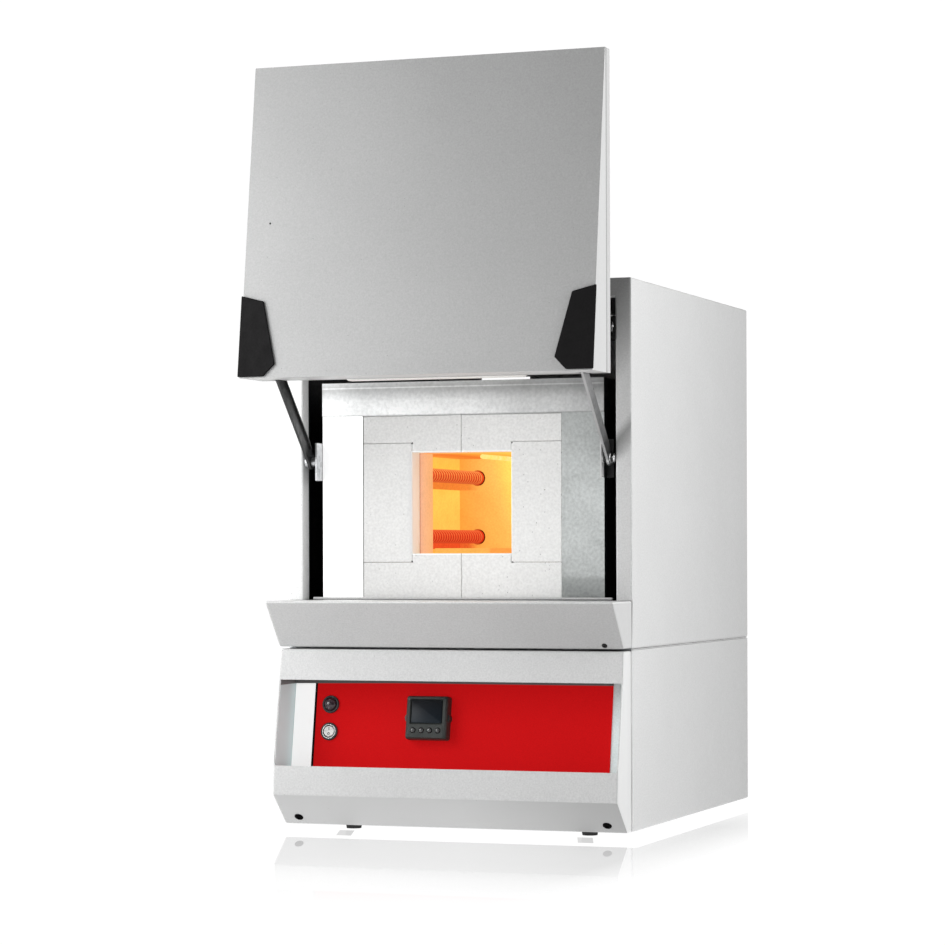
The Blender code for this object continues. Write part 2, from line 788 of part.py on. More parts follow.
def controller(frame):
    surface = FIT + LABEL_THICKNESS + FIT
    front = surface + CONTROLLER_REACH
    half = CONTROLLER_SIZE / 2
    body_half = CONTROLLER_BODY / 2
    middle = Vector((CONTROLLER_X, CONTROLLER_UP, 0))
    bm = block(middle + Vector((-half, -half, surface)), middle + Vector((half, half, front)))
    case = add("controller", bm, plastic("controller_plastic", 0.03), frame)
    chamfer(case, CONTROLLER_EDGE, 2)
    body = block(
        middle + Vector((-body_half, -body_half, -CONTROLLER_BODY_DEPTH)),
        middle + Vector((body_half, body_half, front - SCREEN_DEPTH - CONTROLLER_EDGE)),
    )
    joined(case, body, "controller_body")
    ears = block(
        middle + Vector((-half - EAR_REACH, -EAR_HEIGHT / 2, surface + EAR_RISE)),
        middle + Vector((half + EAR_REACH, EAR_HEIGHT / 2, surface + EAR_RISE + EAR_DEPTH)),
    )
    joined(case, ears, "controller_ears")
    screen = Vector((SCREEN_WIDTH / 2, SCREEN_HEIGHT / 2, 0))
    seat = middle + Vector((0, SCREEN_UP, front - SCREEN_DEPTH))
    over = Vector((0, 0, SCREEN_DEPTH + CUT_OVERRUN))
    cut(case, block(seat - screen, seat + screen + over), "screen_recess")
    ease = Vector((FIT, FIT, 0))
    rise, depth = Vector((0, 0, FIT)), Vector((0, 0, SCREEN_DEPTH))
    window = block(seat - screen + ease + rise, seat + screen - ease + depth)
    add("controller_window", window, plastic("window_glass", 0.01, 0.12), frame)
    wells = bmesh.new()
    for index in range(BUTTON_COUNT):
        x = CONTROLLER_X + (index - (BUTTON_COUNT - 1) / 2) * BUTTON_PITCH
        up = CONTROLLER_UP - BUTTON_DROP
        floor = front - BUTTON_LENGTH - BUTTON_TRAVEL
        rod(wells, (x, up, floor), (x, up, front + CUT_OVERRUN), BUTTON_RADIUS + BUTTON_CLEARANCE)
        button(frame, index + 1, (x, up, front))
    return cut(case, wells, "button_wells")


def button(frame, number, place):
    """A round key that sinks into its well by its travel."""
    axis = empty(f"button_{number}_axis", place, frame)
    profile = [
        (0, BUTTON_REACH),
        (BUTTON_RADIUS - BUTTON_CROWN, BUTTON_REACH),
        (BUTTON_RADIUS, BUTTON_REACH - BUTTON_CROWN),
        (BUTTON_RADIUS, FIT - BUTTON_LENGTH),
        (0, FIT - BUTTON_LENGTH),
    ]
    rubber = plastic(f"button_{number}_rubber", 0.02)
    turned(f"controller_button_{number}", profile, SMALL_STEPS, rubber, axis)


def lamp(frame):
    surface = FIT + LABEL_THICKNESS + FIT
    rim = surface + ROUND_RIM
    crown = [
        (radius, rim + height)
        for radius, height in arc((0, 0), 1, 90, 0, ARC_STEPS)
        for radius, height in [(radius * LENS_RADIUS, height * LENS_CROWN)]
    ]
    profile = [
        *crown,
        (ROUND_RADIUS - ROUND_LIP, rim),
        (ROUND_RADIUS, rim - ROUND_LIP),
        (ROUND_RADIUS, surface),
        (STEM_RADIUS, surface),
        (STEM_RADIUS, -STEM_LENGTH),
        (0, -STEM_LENGTH),
    ]
    profile[0] = (0, rim + LENS_CROWN)
    black = plastic("lamp_plastic", 0.03, 0.25)
    turned("pilot_lamp", profile, ROUND_STEPS, black, frame, (ROUND_X, LAMP_UP, 0))


def rocker_switch(frame):
    surface = FIT + LABEL_THICKNESS + FIT
    rim = surface + ROUND_RIM
    pivot = surface + ROCKER_PIVOT_UP
    bore = ROCKER_RADIUS + ROCKER_CLEARANCE
    floor = pivot - ROCKER_POCKET
    profile = [
        (0, floor),
        (bore, floor),
        (bore, rim),
        (ROUND_RADIUS - ROUND_LIP, rim),
        (ROUND_RADIUS, rim - ROUND_LIP),
        (ROUND_RADIUS, surface),
        (STEM_RADIUS, surface),
        (STEM_RADIUS, -STEM_LENGTH),
        (0, -STEM_LENGTH),
    ]
    place = (ROUND_X, SWITCH_UP, 0)
    turned("switch_bezel", profile, ROUND_STEPS, plastic("bezel_plastic", 0.03), frame, place)
    axis = empty("rocker_axis", (ROUND_X, SWITCH_UP, pivot), frame)
    rocker = [
        (0, ROCKER_CROWN),
        (ROCKER_CROWN_RADIUS, ROCKER_CROWN),
        (ROCKER_RADIUS, 0),
        (ROCKER_FOOT_RADIUS, -ROCKER_DROP),
        (0, -ROCKER_DROP),
    ]
    key = turned("power_rocker", rocker, ROUND_STEPS, plastic("rocker_plastic", 0.8, 0.3), axis)
    key.rotation_euler = (ROCKER_REST, 0, 0)
    over = ROCKER_RADIUS + CUT_OVERRUN
    valley = ROCKER_CROWN - ROCKER_VALLEY
    lift = ROCKER_VALLEY * over / ROCKER_RADIUS
    flat = ROCKER_FLAT / 2
    outline = [
        (-over, valley + lift),
        (-flat, valley),
        (flat, valley),
        (over, valley + lift),
        (over, over),
        (-over, over),
    ]
    width = 2 * over
    tool = profile_across(outline, width)
    cut(key, tool, "rocker_valley").modifiers[-1].object.rotation_euler = (ROCKER_REST, 0, 0)


def chamber_box(base):
    bm = block((-BOX_HALF, BOX_FRONT, BOX_BOTTOM), (BOX_HALF, BOX_BACK, BOX_TOP))
    frame_front(bm, BOX_FRONT, FACE_HALF, FACE_BOTTOM, FACE_TOP)

    def window(face):
        middle = face.calc_center_median()
        inside = abs(middle.x) < FACE_HALF and FACE_BOTTOM < middle.z < FACE_TOP
        return inside and at_front(face, BOX_FRONT)

    drop_faces(bm, window)
    box = sheet(add("chamber_box", bm, metal("box_zinc", 0.62, 0.4), base), fold=0)
    return cut(box, rear_bores(BOX_BACK - SHEET, BOX_BACK), "box_bores")


def chamber_top_band(base):
    back = BOX_FRONT - FIT
    low = (-BOX_HALF, back - BAND_THICKNESS, FACE_TOP)
    strip = block(low, (BOX_HALF, back, BOX_TOP))
    return add("chamber_top_band", strip, metal("band_zinc", 0.6, 0.4), base)


def element_places():
    for level, rise in (("upper", ELEMENT_RISE), ("lower", -ELEMENT_RISE)):
        for side, sign in SIDES:
            yield f"element_{level}_{side}", sign * ELEMENT_X, ELEMENT_Z + rise


def rear_bores(front, back, radius=ELEMENT_BORE):
    """Round cutters for the elements and the thermocouple, through what lies between front and back."""
    bm = bmesh.new()
    start, end = front - CUT_OVERRUN, back + CUT_OVERRUN
    for _, x, z in element_places():
        rod(bm, (x, start, z), (x, end, z), radius, BORE_STEPS)
    place = (THERMOCOUPLE_X, THERMOCOUPLE_Z)
    rod(bm, (place[0], start, place[1]), (place[0], end, place[1]), THERMOCOUPLE_BORE)
    return bm


def insulation(base):
    inside = BOX_HALF - SHEET - FIT
    front, back = BOX_FRONT + SHEET + FIT, BOX_BACK - SHEET - FIT
    low = (-inside, front, BOX_BOTTOM + SHEET + FIT)
    board = block(low, (inside, back, FACE_BOTTOM))
    add("base_insulation", board, refractory("base_board", 0.7), base)
    low = (-inside, front, FACE_BOTTOM + FIT)
    blanket = block(low, (inside, back, BOX_TOP - SHEET - FIT))
    wrap = add("backup_insulation", blanket, refractory("backup_fibre", 0.8), base)
    core = block(
        (-FACE_HALF, front - CUT_OVERRUN, FACE_BOTTOM - CUT_OVERRUN),
        (FACE_HALF, REAR_WALL_BACK + FIT, FACE_TOP),
    )
    cut(wrap, core, "core_space")
    cut(wrap, rear_bores(REAR_WALL_BACK, back), "backup_bores")


def face_brick(base, name, outline, sign):
    bm = extruded(mirrored(outline, sign), BRICK_DEPTH, UPRIGHT)
    place = (0, BRICK_FRONT + BRICK_DEPTH / 2, 0)
    return chamfer(add(name, bm, refractory(name + "_brick"), base, place), BRICK_CHAMFER)


def face_bricks(base):
    """Six bricks round the throat: the top and bottom pairs have a tongue between the side bricks."""
    half_joint = BRICK_JOINT / 2
    top = [
        (half_joint, THROAT_TOP),
        (THROAT_HALF - half_joint, THROAT_TOP),
        (THROAT_HALF - half_joint, JOINT_HIGH + half_joint),
        (CORE_HALF, JOINT_HIGH + half_joint),
        (CORE_HALF, CORE_TOP),
        (half_joint, CORE_TOP),
    ]
    bottom = [
        (half_joint, FACE_BOTTOM + FIT),
        (CORE_HALF, FACE_BOTTOM + FIT),
        (CORE_HALF, JOINT_LOW - half_joint),
        (THROAT_HALF - half_joint, JOINT_LOW - half_joint),
        (THROAT_HALF - half_joint, THROAT_BOTTOM),
        (half_joint, THROAT_BOTTOM),
    ]
    side_brick = rectangle((THROAT_HALF, JOINT_LOW + half_joint), (CORE_HALF, JOINT_HIGH - half_joint))
    for side, sign in SIDES:
        face_brick(base, f"brick_top_{side}", top, sign)
        face_brick(base, f"brick_side_{side}", side_brick, sign)
        face_brick(base, f"brick_bottom_{side}", bottom, sign)


def lining(base):
    low, high = (-CORE_HALF, FACE_BOTTOM + FIT), (CORE_HALF, CORE_TOP)
    throat = rectangle((-THROAT_HALF, THROAT_BOTTOM), (THROAT_HALF, THROAT_TOP))
    collar = pierced(rectangle(low, high), [throat], THROAT_RING_DEPTH, UPRIGHT)
    place = (0, RING_FRONT + THROAT_RING_DEPTH / 2, 0)
    add("throat_collar", collar, refractory("collar_brick"), base, place)
    room = rectangle((-CHAMBER_WIDTH / 2, CHAMBER_FLOOR), (CHAMBER_WIDTH / 2, THROAT_TOP))
    walls = pierced(rectangle(low, high), [room], CHAMBER_DEPTH, UPRIGHT)
    place = (0, LINING_FRONT + CHAMBER_DEPTH / 2, 0)
    add("chamber_lining", walls, refractory("lining_brick"), base, place)
    rear = block((low[0], REAR_WALL_FRONT, low[1]), (high[0], REAR_WALL_BACK, high[1]))
    wall = add("chamber_rear_wall", rear, refractory("rear_brick"), base)
    cut(wall, rear_bores(REAR_WALL_FRONT, REAR_WALL_BACK, WALL_BORE), "rear_wall_bores")
    front = LINING_FRONT + TILE_SETBACK
    floor = CHAMBER_FLOOR + FIT
    half = TILE_WIDTH / 2
    tile = block((-half, front, floor), (half, front + TILE_LENGTH, floor + TILE_THICKNESS))
    chamfer(add("hearth_tile", tile, refractory("hearth_alumina", 0.75), base), BRICK_CHAMFER)


def spiral_depth(turn, along):
    """How far the spiral cut lies below the surface, at a turn of 0 to 1 and a place along the rod."""
    phase = (along / SPIRAL_PITCH + turn) % 1
    return SPIRAL_DEPTH * (1 - abs(2 * phase - 1))


def element_rings():
    """Places along a rod and whether the spiral is cut there."""
    step = SPIRAL_PITCH / SPIRAL_RINGS
    start = ELEMENT_TIP_Y + ELEMENT_PLAIN_TIP
    count = round((SPIRAL_END_Y - start) / step)
    cuts = [(start + index * step, True) for index in range(1, count)]
    last = (start + count * step, False)
    return [(ELEMENT_TIP_Y, False), (start, False), *cuts, last, (ELEMENT_END_Y, False)]


def element_mesh():
    """A rod lofted ring by ring from its front tip to its terminal end."""
    bm = bmesh.new()
    rings = element_rings()
    bmesh.ops.create_circle(bm, cap_ends=True, segments=ELEMENT_SIDES, radius=ELEMENT_RADIUS, matrix=UPRIGHT)
    bmesh.ops.translate(bm, verts=bm.verts, vec=(0, ELEMENT_TIP_Y, 0))
    edges = list(bm.edges)
    for along, is_cut in rings[1:]:
        made = bmesh.ops.extrude_edge_only(bm, edges=edges)["geom"]
        edges = [item for item in made if isinstance(item, bmesh.types.BMEdge)]
        for corner in [item for item in made if isinstance(item, bmesh.types.BMVert)]:
            turn = math.atan2(corner.co.z, corner.co.x) / math.tau % 1
            radius = ELEMENT_RADIUS - (spiral_depth(turn, along) if is_cut else 0)
            angle = turn * math.tau
            corner.co = (radius * math.cos(angle), along, radius * math.sin(angle))
    bmesh.ops.contextual_create(bm, geom=edges)
    bmesh.ops.recalc_face_normals(bm, faces=bm.faces)
    return bm


def elements(base):
    shared = None
    for name, x, z in element_places():
        if shared is None:
            carbide = finish("silicon_carbide", (0.25, 0.08, 0.05), 0.7)
            shared = smooth(add(name, element_mesh(), carbide, base, (x, 0, z))).data
            continue
        made = bpy.data.objects.new(name, shared)
        made.parent = base
        made.location = (x, 0, z)
        PARTS.objects.link(made)


def terminal_straps(base):
    """An aluminium strap on each side joins the terminal ends of the upper and lower rod."""
    for side, sign in SIDES:
        upper, lower = (0, ELEMENT_RISE), (0, -ELEMENT_RISE)
        over = arc(upper, STRAP_RADIUS, 0, 180, ARC_STEPS)
        under = arc(lower, STRAP_RADIUS, 180, 360, ARC_STEPS)
        bores = [ring(end, ELEMENT_RADIUS + FIT, BORE_STEPS) for end in (upper, lower)]
        bm = pierced([*over, *under], bores, STRAP_THICKNESS, UPRIGHT)
        place = (sign * ELEMENT_X, STRAP_Y, ELEMENT_Z)
        add(f"terminal_strap_{side}", bm, metal(f"strap_{side}_aluminium", 0.8, 0.3), base, place)


def thermocouple(base):
    length = BOX_BACK + FIT - THERMOCOUPLE_TIP_Y
    tip = [
        (radius * THERMOCOUPLE_RADIUS, (height - 1) * THERMOCOUPLE_RADIUS)
        for radius, height in arc((0, 0), 1, 90, 0, ARC_STEPS // 2)
    ]
    profile = [
        *tip,
        (THERMOCOUPLE_RADIUS, -length),
        (THERMOCOUPLE_HEAD_RADIUS, -length),
        (THERMOCOUPLE_HEAD_RADIUS, -length - THERMOCOUPLE_HEAD_LENGTH),
        (0, -length - THERMOCOUPLE_HEAD_LENGTH),
    ]
    profile[0] = (0, 0)
    place = (THERMOCOUPLE_X, THERMOCOUPLE_TIP_Y, THERMOCOUPLE_Z)
    ceramic = refractory("thermocouple_ceramic", 0.8)
    turned("thermocouple", profile, SMALL_STEPS, ceramic, base, place, UPRIGHT)


def upright_profile(outline, low, high):
    """A plan view's outline, as (x, y) points, raised between two heights."""
    bm = extruded(outline, high - low)
    return lifted(bm, (low + high) / 2)


def mirrored(outline, sign):
    return [(sign * first, second) for first, second in outline]


def arm_brackets(base):
    """Angles on the sides of the chamber box, each with the pivot bolt of a lower arm."""
    inner = BOX_HALF + FIT
    arm_inner, arm_outer = ARM_X - ARM_THICKNESS / 2, ARM_X + ARM_THICKNESS / 2
    low, high = LOWER_PIVOT_Z - BRACKET_HEIGHT / 2, LOWER_PIVOT_Z + BRACKET_HEIGHT / 2
    back = BRACKET_FRONT + BRACKET_DEPTH
    outline = [
        (inner, BRACKET_FRONT),
        (inner + BRACKET_SHEET, BRACKET_FRONT),
        (inner + BRACKET_SHEET, BRACKET_FLANGE_Y),
        (inner + BRACKET_FLANGE, BRACKET_FLANGE_Y),
        (inner + BRACKET_FLANGE, BRACKET_FLANGE_Y + BRACKET_SHEET),
        (inner + BRACKET_SHEET, BRACKET_FLANGE_Y + BRACKET_SHEET),
        (inner + BRACKET_SHEET, back),
        (inner, back),
    ]
    for side, sign in SIDES:
        angle = upright_profile(mirrored(outline, sign), low, high)
        bracket = add(f"arm_bracket_{side}", angle, metal(f"bracket_{side}_zinc", 0.7, 0.35), base)
        pivot = Vector((0, PIVOT_Y, LOWER_PIVOT_Z))
        stations = (
            (inner + BRACKET_SHEET / 2, arm_inner - FIT, PIN_COLLAR_RADIUS),
            (arm_outer + FIT, arm_outer + FIT + PIN_HEAD, PIN_HEAD_RADIUS),
        )
        joined(bracket, stepped_pin(bmesh.new(), pivot, sign, stations), f"bracket_bolt_{side}")


def stepped_pin(bm, pivot, sign, stations):
    """A turned pin along X with a collar on each side of an arm, as one closed shape about its axis."""
    (start, inner, first), (outer, end, second) = stations
    steps = (
        (inner, first),
        (inner, PIN_RADIUS),
        (outer, PIN_RADIUS),
        (outer, second),
        (end, second),
    )
    turn = Matrix.Rotation(math.radians(90), 4, "Y")
    bmesh.ops.create_circle(bm, cap_ends=True, segments=BORE_STEPS, radius=first, matrix=turn)
    bmesh.ops.translate(bm, verts=bm.verts, vec=(start, 0, 0))
    edges = list(bm.edges)
    for x, radius in steps:
        made = bmesh.ops.extrude_edge_only(bm, edges=edges)["geom"]
        edges = [item for item in made if isinstance(item, bmesh.types.BMEdge)]
        for corner in [item for item in made if isinstance(item, bmesh.types.BMVert)]:
            around = Vector((0, corner.co.y, corner.co.z)).normalized() * radius
            corner.co = (x, around.y, around.z)
    bmesh.ops.contextual_create(bm, geom=edges)
    bmesh.ops.transform(bm, matrix=Matrix.Diagonal((sign, 1, 1, 1)), verts=bm.verts)
    bmesh.ops.translate(bm, verts=bm.verts, vec=pivot)
    return bm


def lift_rail(base):
    """A channel behind the header, whose ends carry the lift shaft."""
    outer = OPENING_HALF - FIT
    inner = outer - RAIL_SHEET
    right = [
        (outer, RAIL_WEB_Y + RAIL_SHEET),
        (outer, BRACKET_FRONT),
        (inner, BRACKET_FRONT),
        (inner, RAIL_WEB_Y),
    ]
    outline = [*right, *reversed(mirrored(right, -1))]
    channel = upright_profile(outline, UPPER_PIVOT_Z - RAIL_HEIGHT / 2, UPPER_PIVOT_Z + RAIL_HEIGHT / 2)
    rail = add("lift_rail", channel, metal("rail_zinc", 0.6, 0.4), base)
    end = Vector((outer + CUT_OVERRUN, 0, 0))
    middle = Vector((0, PIVOT_Y, UPPER_PIVOT_Z))
    bore = rod(bmesh.new(), middle - end, middle + end, JOURNAL_RADIUS + FIT, BORE_STEPS)
    return cut(rail, bore, "rail_bore")


def door_switch(base):
    """The interlock switch hangs on the back of the rail with its roller towards the shaft."""
    front = RAIL_WEB_Y + RAIL_SHEET + FIT
    low = (SWITCH_X, front, UPPER_PIVOT_Z - SWITCH_HEIGHT / 2)
    high = (SWITCH_X + SWITCH_WIDTH, front + SWITCH_LENGTH, UPPER_PIVOT_Z + SWITCH_HEIGHT / 2)
    body = add("door_switch", block(low, high), plastic("switch_plastic", 0.03), base)
    chamfer(body, BRICK_CHAMFER)
    pivot_z = high[2] + SWITCH_ROLLER_RADIUS / 2
    middle_y = (low[1] + high[1]) / 2
    roller = rod(
        bmesh.new(),
        (low[0] + FIT, middle_y, pivot_z),
        (high[0] - FIT, middle_y, pivot_z),
        SWITCH_ROLLER_RADIUS,
    )
    return joined(body, roller, "switch_roller")


def arm_outline():
    """A bar with a round boss at each end, along local x from its pivot."""
    half = ARM_WIDTH / 2
    neck = math.degrees(math.asin(half / ARM_BOSS_RADIUS))
    near = arc((0, 0), ARM_BOSS_RADIUS, neck, 360 - neck, 2 * ARC_STEPS)
    far = arc((ARM_LENGTH, 0), ARM_BOSS_RADIUS, neck - 180, 180 - neck, 2 * ARC_STEPS)
    return [*near, *far]


def arm_pieces(sign, place, bores):
    """One arm's bar, its folded flange and the cutters of its bores, moved to place."""
    forwards = Matrix(((0, 0, -1, 0), (-1, 0, 0, 0), (0, 1, 0, 0), (0, 0, 0, 1)))
    bar = extruded(arm_outline(), ARM_THICKNESS, forwards)
    top = ARM_WIDTH / 2 - ARM_FLANGE_DROP
    start, end = -ARM_FLANGE_SETBACK, ARM_FLANGE_SETBACK - ARM_LENGTH
    inner = -sign * (ARM_THICKNESS / 2 + ARM_FLANGE)
    flange = block((inner, end, top - ARM_FLANGE_SHEET), (0, start, top))
    holes = bmesh.new()
    reach = ARM_THICKNESS / 2 + CUT_OVERRUN
    for along in bores:
        rod(holes, (-reach, -along, 0), (reach, -along, 0), PIN_BORE, BORE_STEPS)
    for bm in (bar, flange, holes):
        bmesh.ops.transform(bm, matrix=place, verts=bm.verts)
    return bar, flange, holes


def upper_arm_frame(base):
    """Both upper arms, welded to the shaft that turns in the rail."""
    axis = empty("door_lift_axis", (0, PIVOT_Y, UPPER_PIVOT_Z), base)
    outer = OPENING_HALF - FIT
    shoulder = outer - RAIL_SHEET - FIT
    profile = [
        (0, outer),
        (JOURNAL_RADIUS, outer),
        (JOURNAL_RADIUS, shoulder),
        (SHAFT_RADIUS, shoulder),
        (SHAFT_RADIUS, -shoulder),
        (JOURNAL_RADIUS, -shoulder),
        (JOURNAL_RADIUS, -outer),
        (0, -outer),
    ]
    steel = metal("arm_steel", 0.25, 0.45)
    frame = turned("upper_arm_frame", profile, BORE_STEPS, steel, axis)
    frame.rotation_euler = (0, math.radians(90), 0)
    raised = Matrix.Rotation(-OPEN_ANGLE, 4, "X")
    for side, sign in SIDES:
        place = Matrix.Translation((sign * ARM_X, 0, 0)) @ raised
        bar, flange, holes = arm_pieces(sign, place, [ARM_LENGTH])
        joined(frame, bar, f"upper_arm_bar_{side}")
        joined(frame, flange, f"upper_arm_flange_{side}")
        cut(frame, holes, f"upper_arm_bores_{side}")
    return axis


def lower_arms(base):
    raised = Matrix.Rotation(-OPEN_ANGLE, 4, "X")
    for side, sign in SIDES:
        axis = empty(f"lower_arm_{side}_axis", (sign * ARM_X, PIVOT_Y, LOWER_PIVOT_Z), base)
        bar, flange, holes = arm_pieces(sign, raised, [0, ARM_LENGTH])
        arm = add(f"lower_arm_{side}", bar, metal(f"arm_{side}_steel", 0.25), axis)
        joined(arm, flange, f"lower_arm_flange_{side}")
        cut(arm, holes, f"lower_arm_bores_{side}")


def door_front(height):
    """How far the cover's sloping face stands in front of the door's back plane at a height."""
    return DOOR_BOTTOM_DEPTH - (DOOR_BOTTOM_DEPTH - DOOR_TOP_DEPTH) * height / DOOR_HEIGHT


def arm_slot_tool(sign, top):
    """The room for an upper and a lower arm, open at the door's back and bottom."""
    inner, outer = sorted((sign * ARM_SLOT_INNER, sign * ARM_SLOT_OUTER))
    return block((inner, -ARM_SLOT_FRONT, -CUT_OVERRUN), (outer, CUT_OVERRUN, top))


def door_tray(door):
    half = DOOR_WIDTH / 2
    bm = block((-half, -TRAY_DEPTH, 0), (half, 0, DOOR_HEIGHT))
    drop_faces(bm, lambda face: face.normal.y < -0.5)
    tray = sheet(add("door_tray", bm, powder_coat("tray_paint", 0.62), door), fold=0)
    for side, sign in SIDES:
        cut(tray, arm_slot_tool(sign, ARM_SLOT_TOP), f"tray_slot_{side}")


def door_cover(door):
    back = -TRAY_DEPTH - FIT
    outline = [
        (back, DOOR_HEIGHT),
        (-door_front(DOOR_HEIGHT), DOOR_HEIGHT),
        (-door_front(0), 0),
        (back, 0),
    ]
    bm = profile_across(outline, DOOR_WIDTH)
    drop_faces(bm, lambda face: face.normal.y > 0.5)
    cover = sheet(add("door_cover", bm, powder_coat("door_paint", 0.66), door), fold=0)
    for side, sign in SIDES:
        cut(cover, arm_slot_tool(sign, SHEET + CUT_OVERRUN), f"cover_notch_{side}")


def door_plug(door):
    half = PLUG_WIDTH / 2
    bm = block((-half, FIT, -PLUG_DROP), (half, PLUG_DEPTH, PLUG_HEIGHT - PLUG_DROP))
    plug = add("door_plug", bm, refractory("plug_fibre", 0.88), door)
    return chamfer(plug, PLUG_CHAMFER)


def grips(door):
    """Pentagonal pads on the cover's sloping face, standing a little past its sides."""
    slope = Matrix.Rotation(-DOOR_SLOPE, 4, "X")
    foot_of_face = Matrix.Translation((0, -DOOR_BOTTOM_DEPTH, 0))
    outer = DOOR_WIDTH / 2 + GRIP_OVERHANG
    edge = DOOR_WIDTH / 2
    outline = [
        (edge - GRIP_FOOT_INNER, GRIP_FOOT),
        (outer, GRIP_FOOT),
        (outer, GRIP_TOP),
        (edge - GRIP_TOP_INNER, GRIP_TOP - GRIP_TOP_DROP),
        (edge - GRIP_WAIST_INNER, GRIP_WAIST),
    ]
    for side, sign in SIDES:
        bm = extruded(mirrored(outline, sign), GRIP_THICKNESS, UPRIGHT)
        bmesh.ops.translate(bm, verts=bm.verts, vec=(0, -FIT - GRIP_THICKNESS / 2, 0))
        bmesh.ops.transform(bm, matrix=foot_of_face @ slope, verts=bm.verts)
        chamfer(add(f"grip_{side}", bm, plastic(f"grip_{side}_plastic", 0.012, 0.6), door), GRIP_EDGE)


def hinge_plates(door):
    """Angles inside the door, each with a stud for its upper and its lower arm."""
    back = -SHEET - FIT
    nose = -DOOR_PIVOT_INSET - HINGE_NOSE
    inner = ARM_SLOT_OUTER + SHEET
    arm_inner, arm_outer = ARM_X - ARM_THICKNESS / 2, ARM_X + ARM_THICKNESS / 2
    outline = [
        (inner, nose),
        (inner + HINGE_SHEET, nose),
        (inner + HINGE_SHEET, back - HINGE_SHEET),
        (inner + HINGE_FLANGE, back - HINGE_SHEET),
        (inner + HINGE_FLANGE, back),
        (inner, back),
    ]
    stations = (
        (arm_inner - FIT - PIN_CLIP, arm_inner - FIT, PIN_COLLAR_RADIUS),
        (arm_outer + FIT, inner + HINGE_SHEET / 2, PIN_COLLAR_RADIUS),
    )
    for side, sign in SIDES:
        angle = upright_profile(mirrored(outline, sign), HINGE_FOOT, HINGE_FOOT + HINGE_HEIGHT)
        plate = add(f"hinge_plate_{side}", angle, metal(f"hinge_{side}_zinc", 0.6, 0.4), door)
        for level, rise in (("lower", 0), ("upper", PIVOT_SPACING)):
            pivot = Vector((0, -DOOR_PIVOT_INSET, DOOR_PIVOT_RISE + rise))
            joined(plate, stepped_pin(bmesh.new(), pivot, sign, stations), f"hinge_stud_{level}_{side}")


def door(lift_axis):
    """The door hangs on the far ends of the upper arms and keeps upright."""
    axis = empty("door_axis", (0, DOOR_SHIFT_Y - PIVOT_Y, DOOR_SHIFT_Z), lift_axis)
    corner = (0, DOOR_PIVOT_INSET, -PIVOT_SPACING - DOOR_PIVOT_RISE)
    frame = empty("door_frame", corner, axis)
    door_tray(frame)
    door_cover(frame)
    door_plug(frame)
    grips(frame)
    hinge_plates(frame)


def slot_grid(middle_x, middle_z, columns, rows, pitch_x, pitch_z, width, height):
    """Outlines of a grid of slots."""
    outlines = []
    for column in range(columns):
        for row in range(rows):
            x = middle_x + (column - (columns - 1) / 2) * pitch_x
            z = middle_z + (row - (rows - 1) / 2) * pitch_z
            low = (x - width / 2, z - height / 2)
            outlines.append(rectangle(low, (x + width / 2, z + height / 2)))
    return outlines


def rear_panels(base):
    middle_y = BODY_DEPTH - SHEET / 2
    half = INSIDE_HALF
    vents = slot_grid(0, VENT_UPPER_Z, 2, VENT_ROWS, 2 * VENT_X, VENT_PITCH, VENT_WIDTH, VENT_HEIGHT)
    window = rectangle(
        (-WINDOW_WIDTH / 2, GUARD_Z - WINDOW_HEIGHT / 2), (WINDOW_WIDTH / 2, GUARD_Z + WINDOW_HEIGHT / 2)
    )
    outline = rectangle((-half, DECK_TOP + FIT), (half, BODY_TOP - SHEET - FIT))
    bm = pierced(outline, [window, *vents], SHEET, UPRIGHT)
    add("rear_panel_upper", bm, powder_coat("rear_upper_paint", 0.7), base, (0, middle_y, 0))
    vents = slot_grid(-VENT_X, VENT_LOWER_Z, 1, VENT_ROWS, 0, VENT_PITCH, VENT_WIDTH, VENT_HEIGHT)
    hole = ring((GLAND_X, GLAND_Z), GLAND_RADIUS + FIT, ROUND_STEPS)
    outline = rectangle((-half, FOOT_HEIGHT + SHEET + FIT), (half, DECK_BOTTOM - FIT))
    bm = pierced(outline, [hole, *vents], SHEET, UPRIGHT)
    add("rear_panel_lower", bm, powder_coat("rear_lower_paint", 0.7), base, (0, middle_y, 0))


def rear_guard(base):
    """A slotted cover that stands clear of the terminal window."""
    front = BODY_DEPTH + FIT
    half, rise = GUARD_WIDTH / 2, GUARD_HEIGHT / 2
    bm = block((-half, front, GUARD_Z - rise), (half, front + GUARD_DEPTH, GUARD_Z + rise))
    drop_faces(bm, lambda face: face.normal.y < -0.5)
    guard = sheet(add("rear_guard", bm, powder_coat("guard_paint", 0.6), base), GUARD_SHEET)
    slots = slot_grid(
        0,
        GUARD_Z,
        GUARD_SLOT_COLUMNS,
        GUARD_SLOT_ROWS,
        GUARD_SLOT_PITCH_X,
        GUARD_SLOT_PITCH_Z,
        GUARD_SLOT_WIDTH,
        GUARD_SLOT_HEIGHT,
    )
    tools = bmesh.new()
    back = front + GUARD_DEPTH
    for low, _, high, _ in slots:
        box = block((low[0], back - CUT_OVERRUN, low[1]), (high[0], back + CUT_OVERRUN, high[1]))
        mesh = bpy.data.meshes.new("slot")
        box.to_mesh(mesh)
        box.free()
        tools.from_mesh(mesh)
        bpy.data.meshes.remove(mesh)
    return cut(guard, tools, "guard_slots")


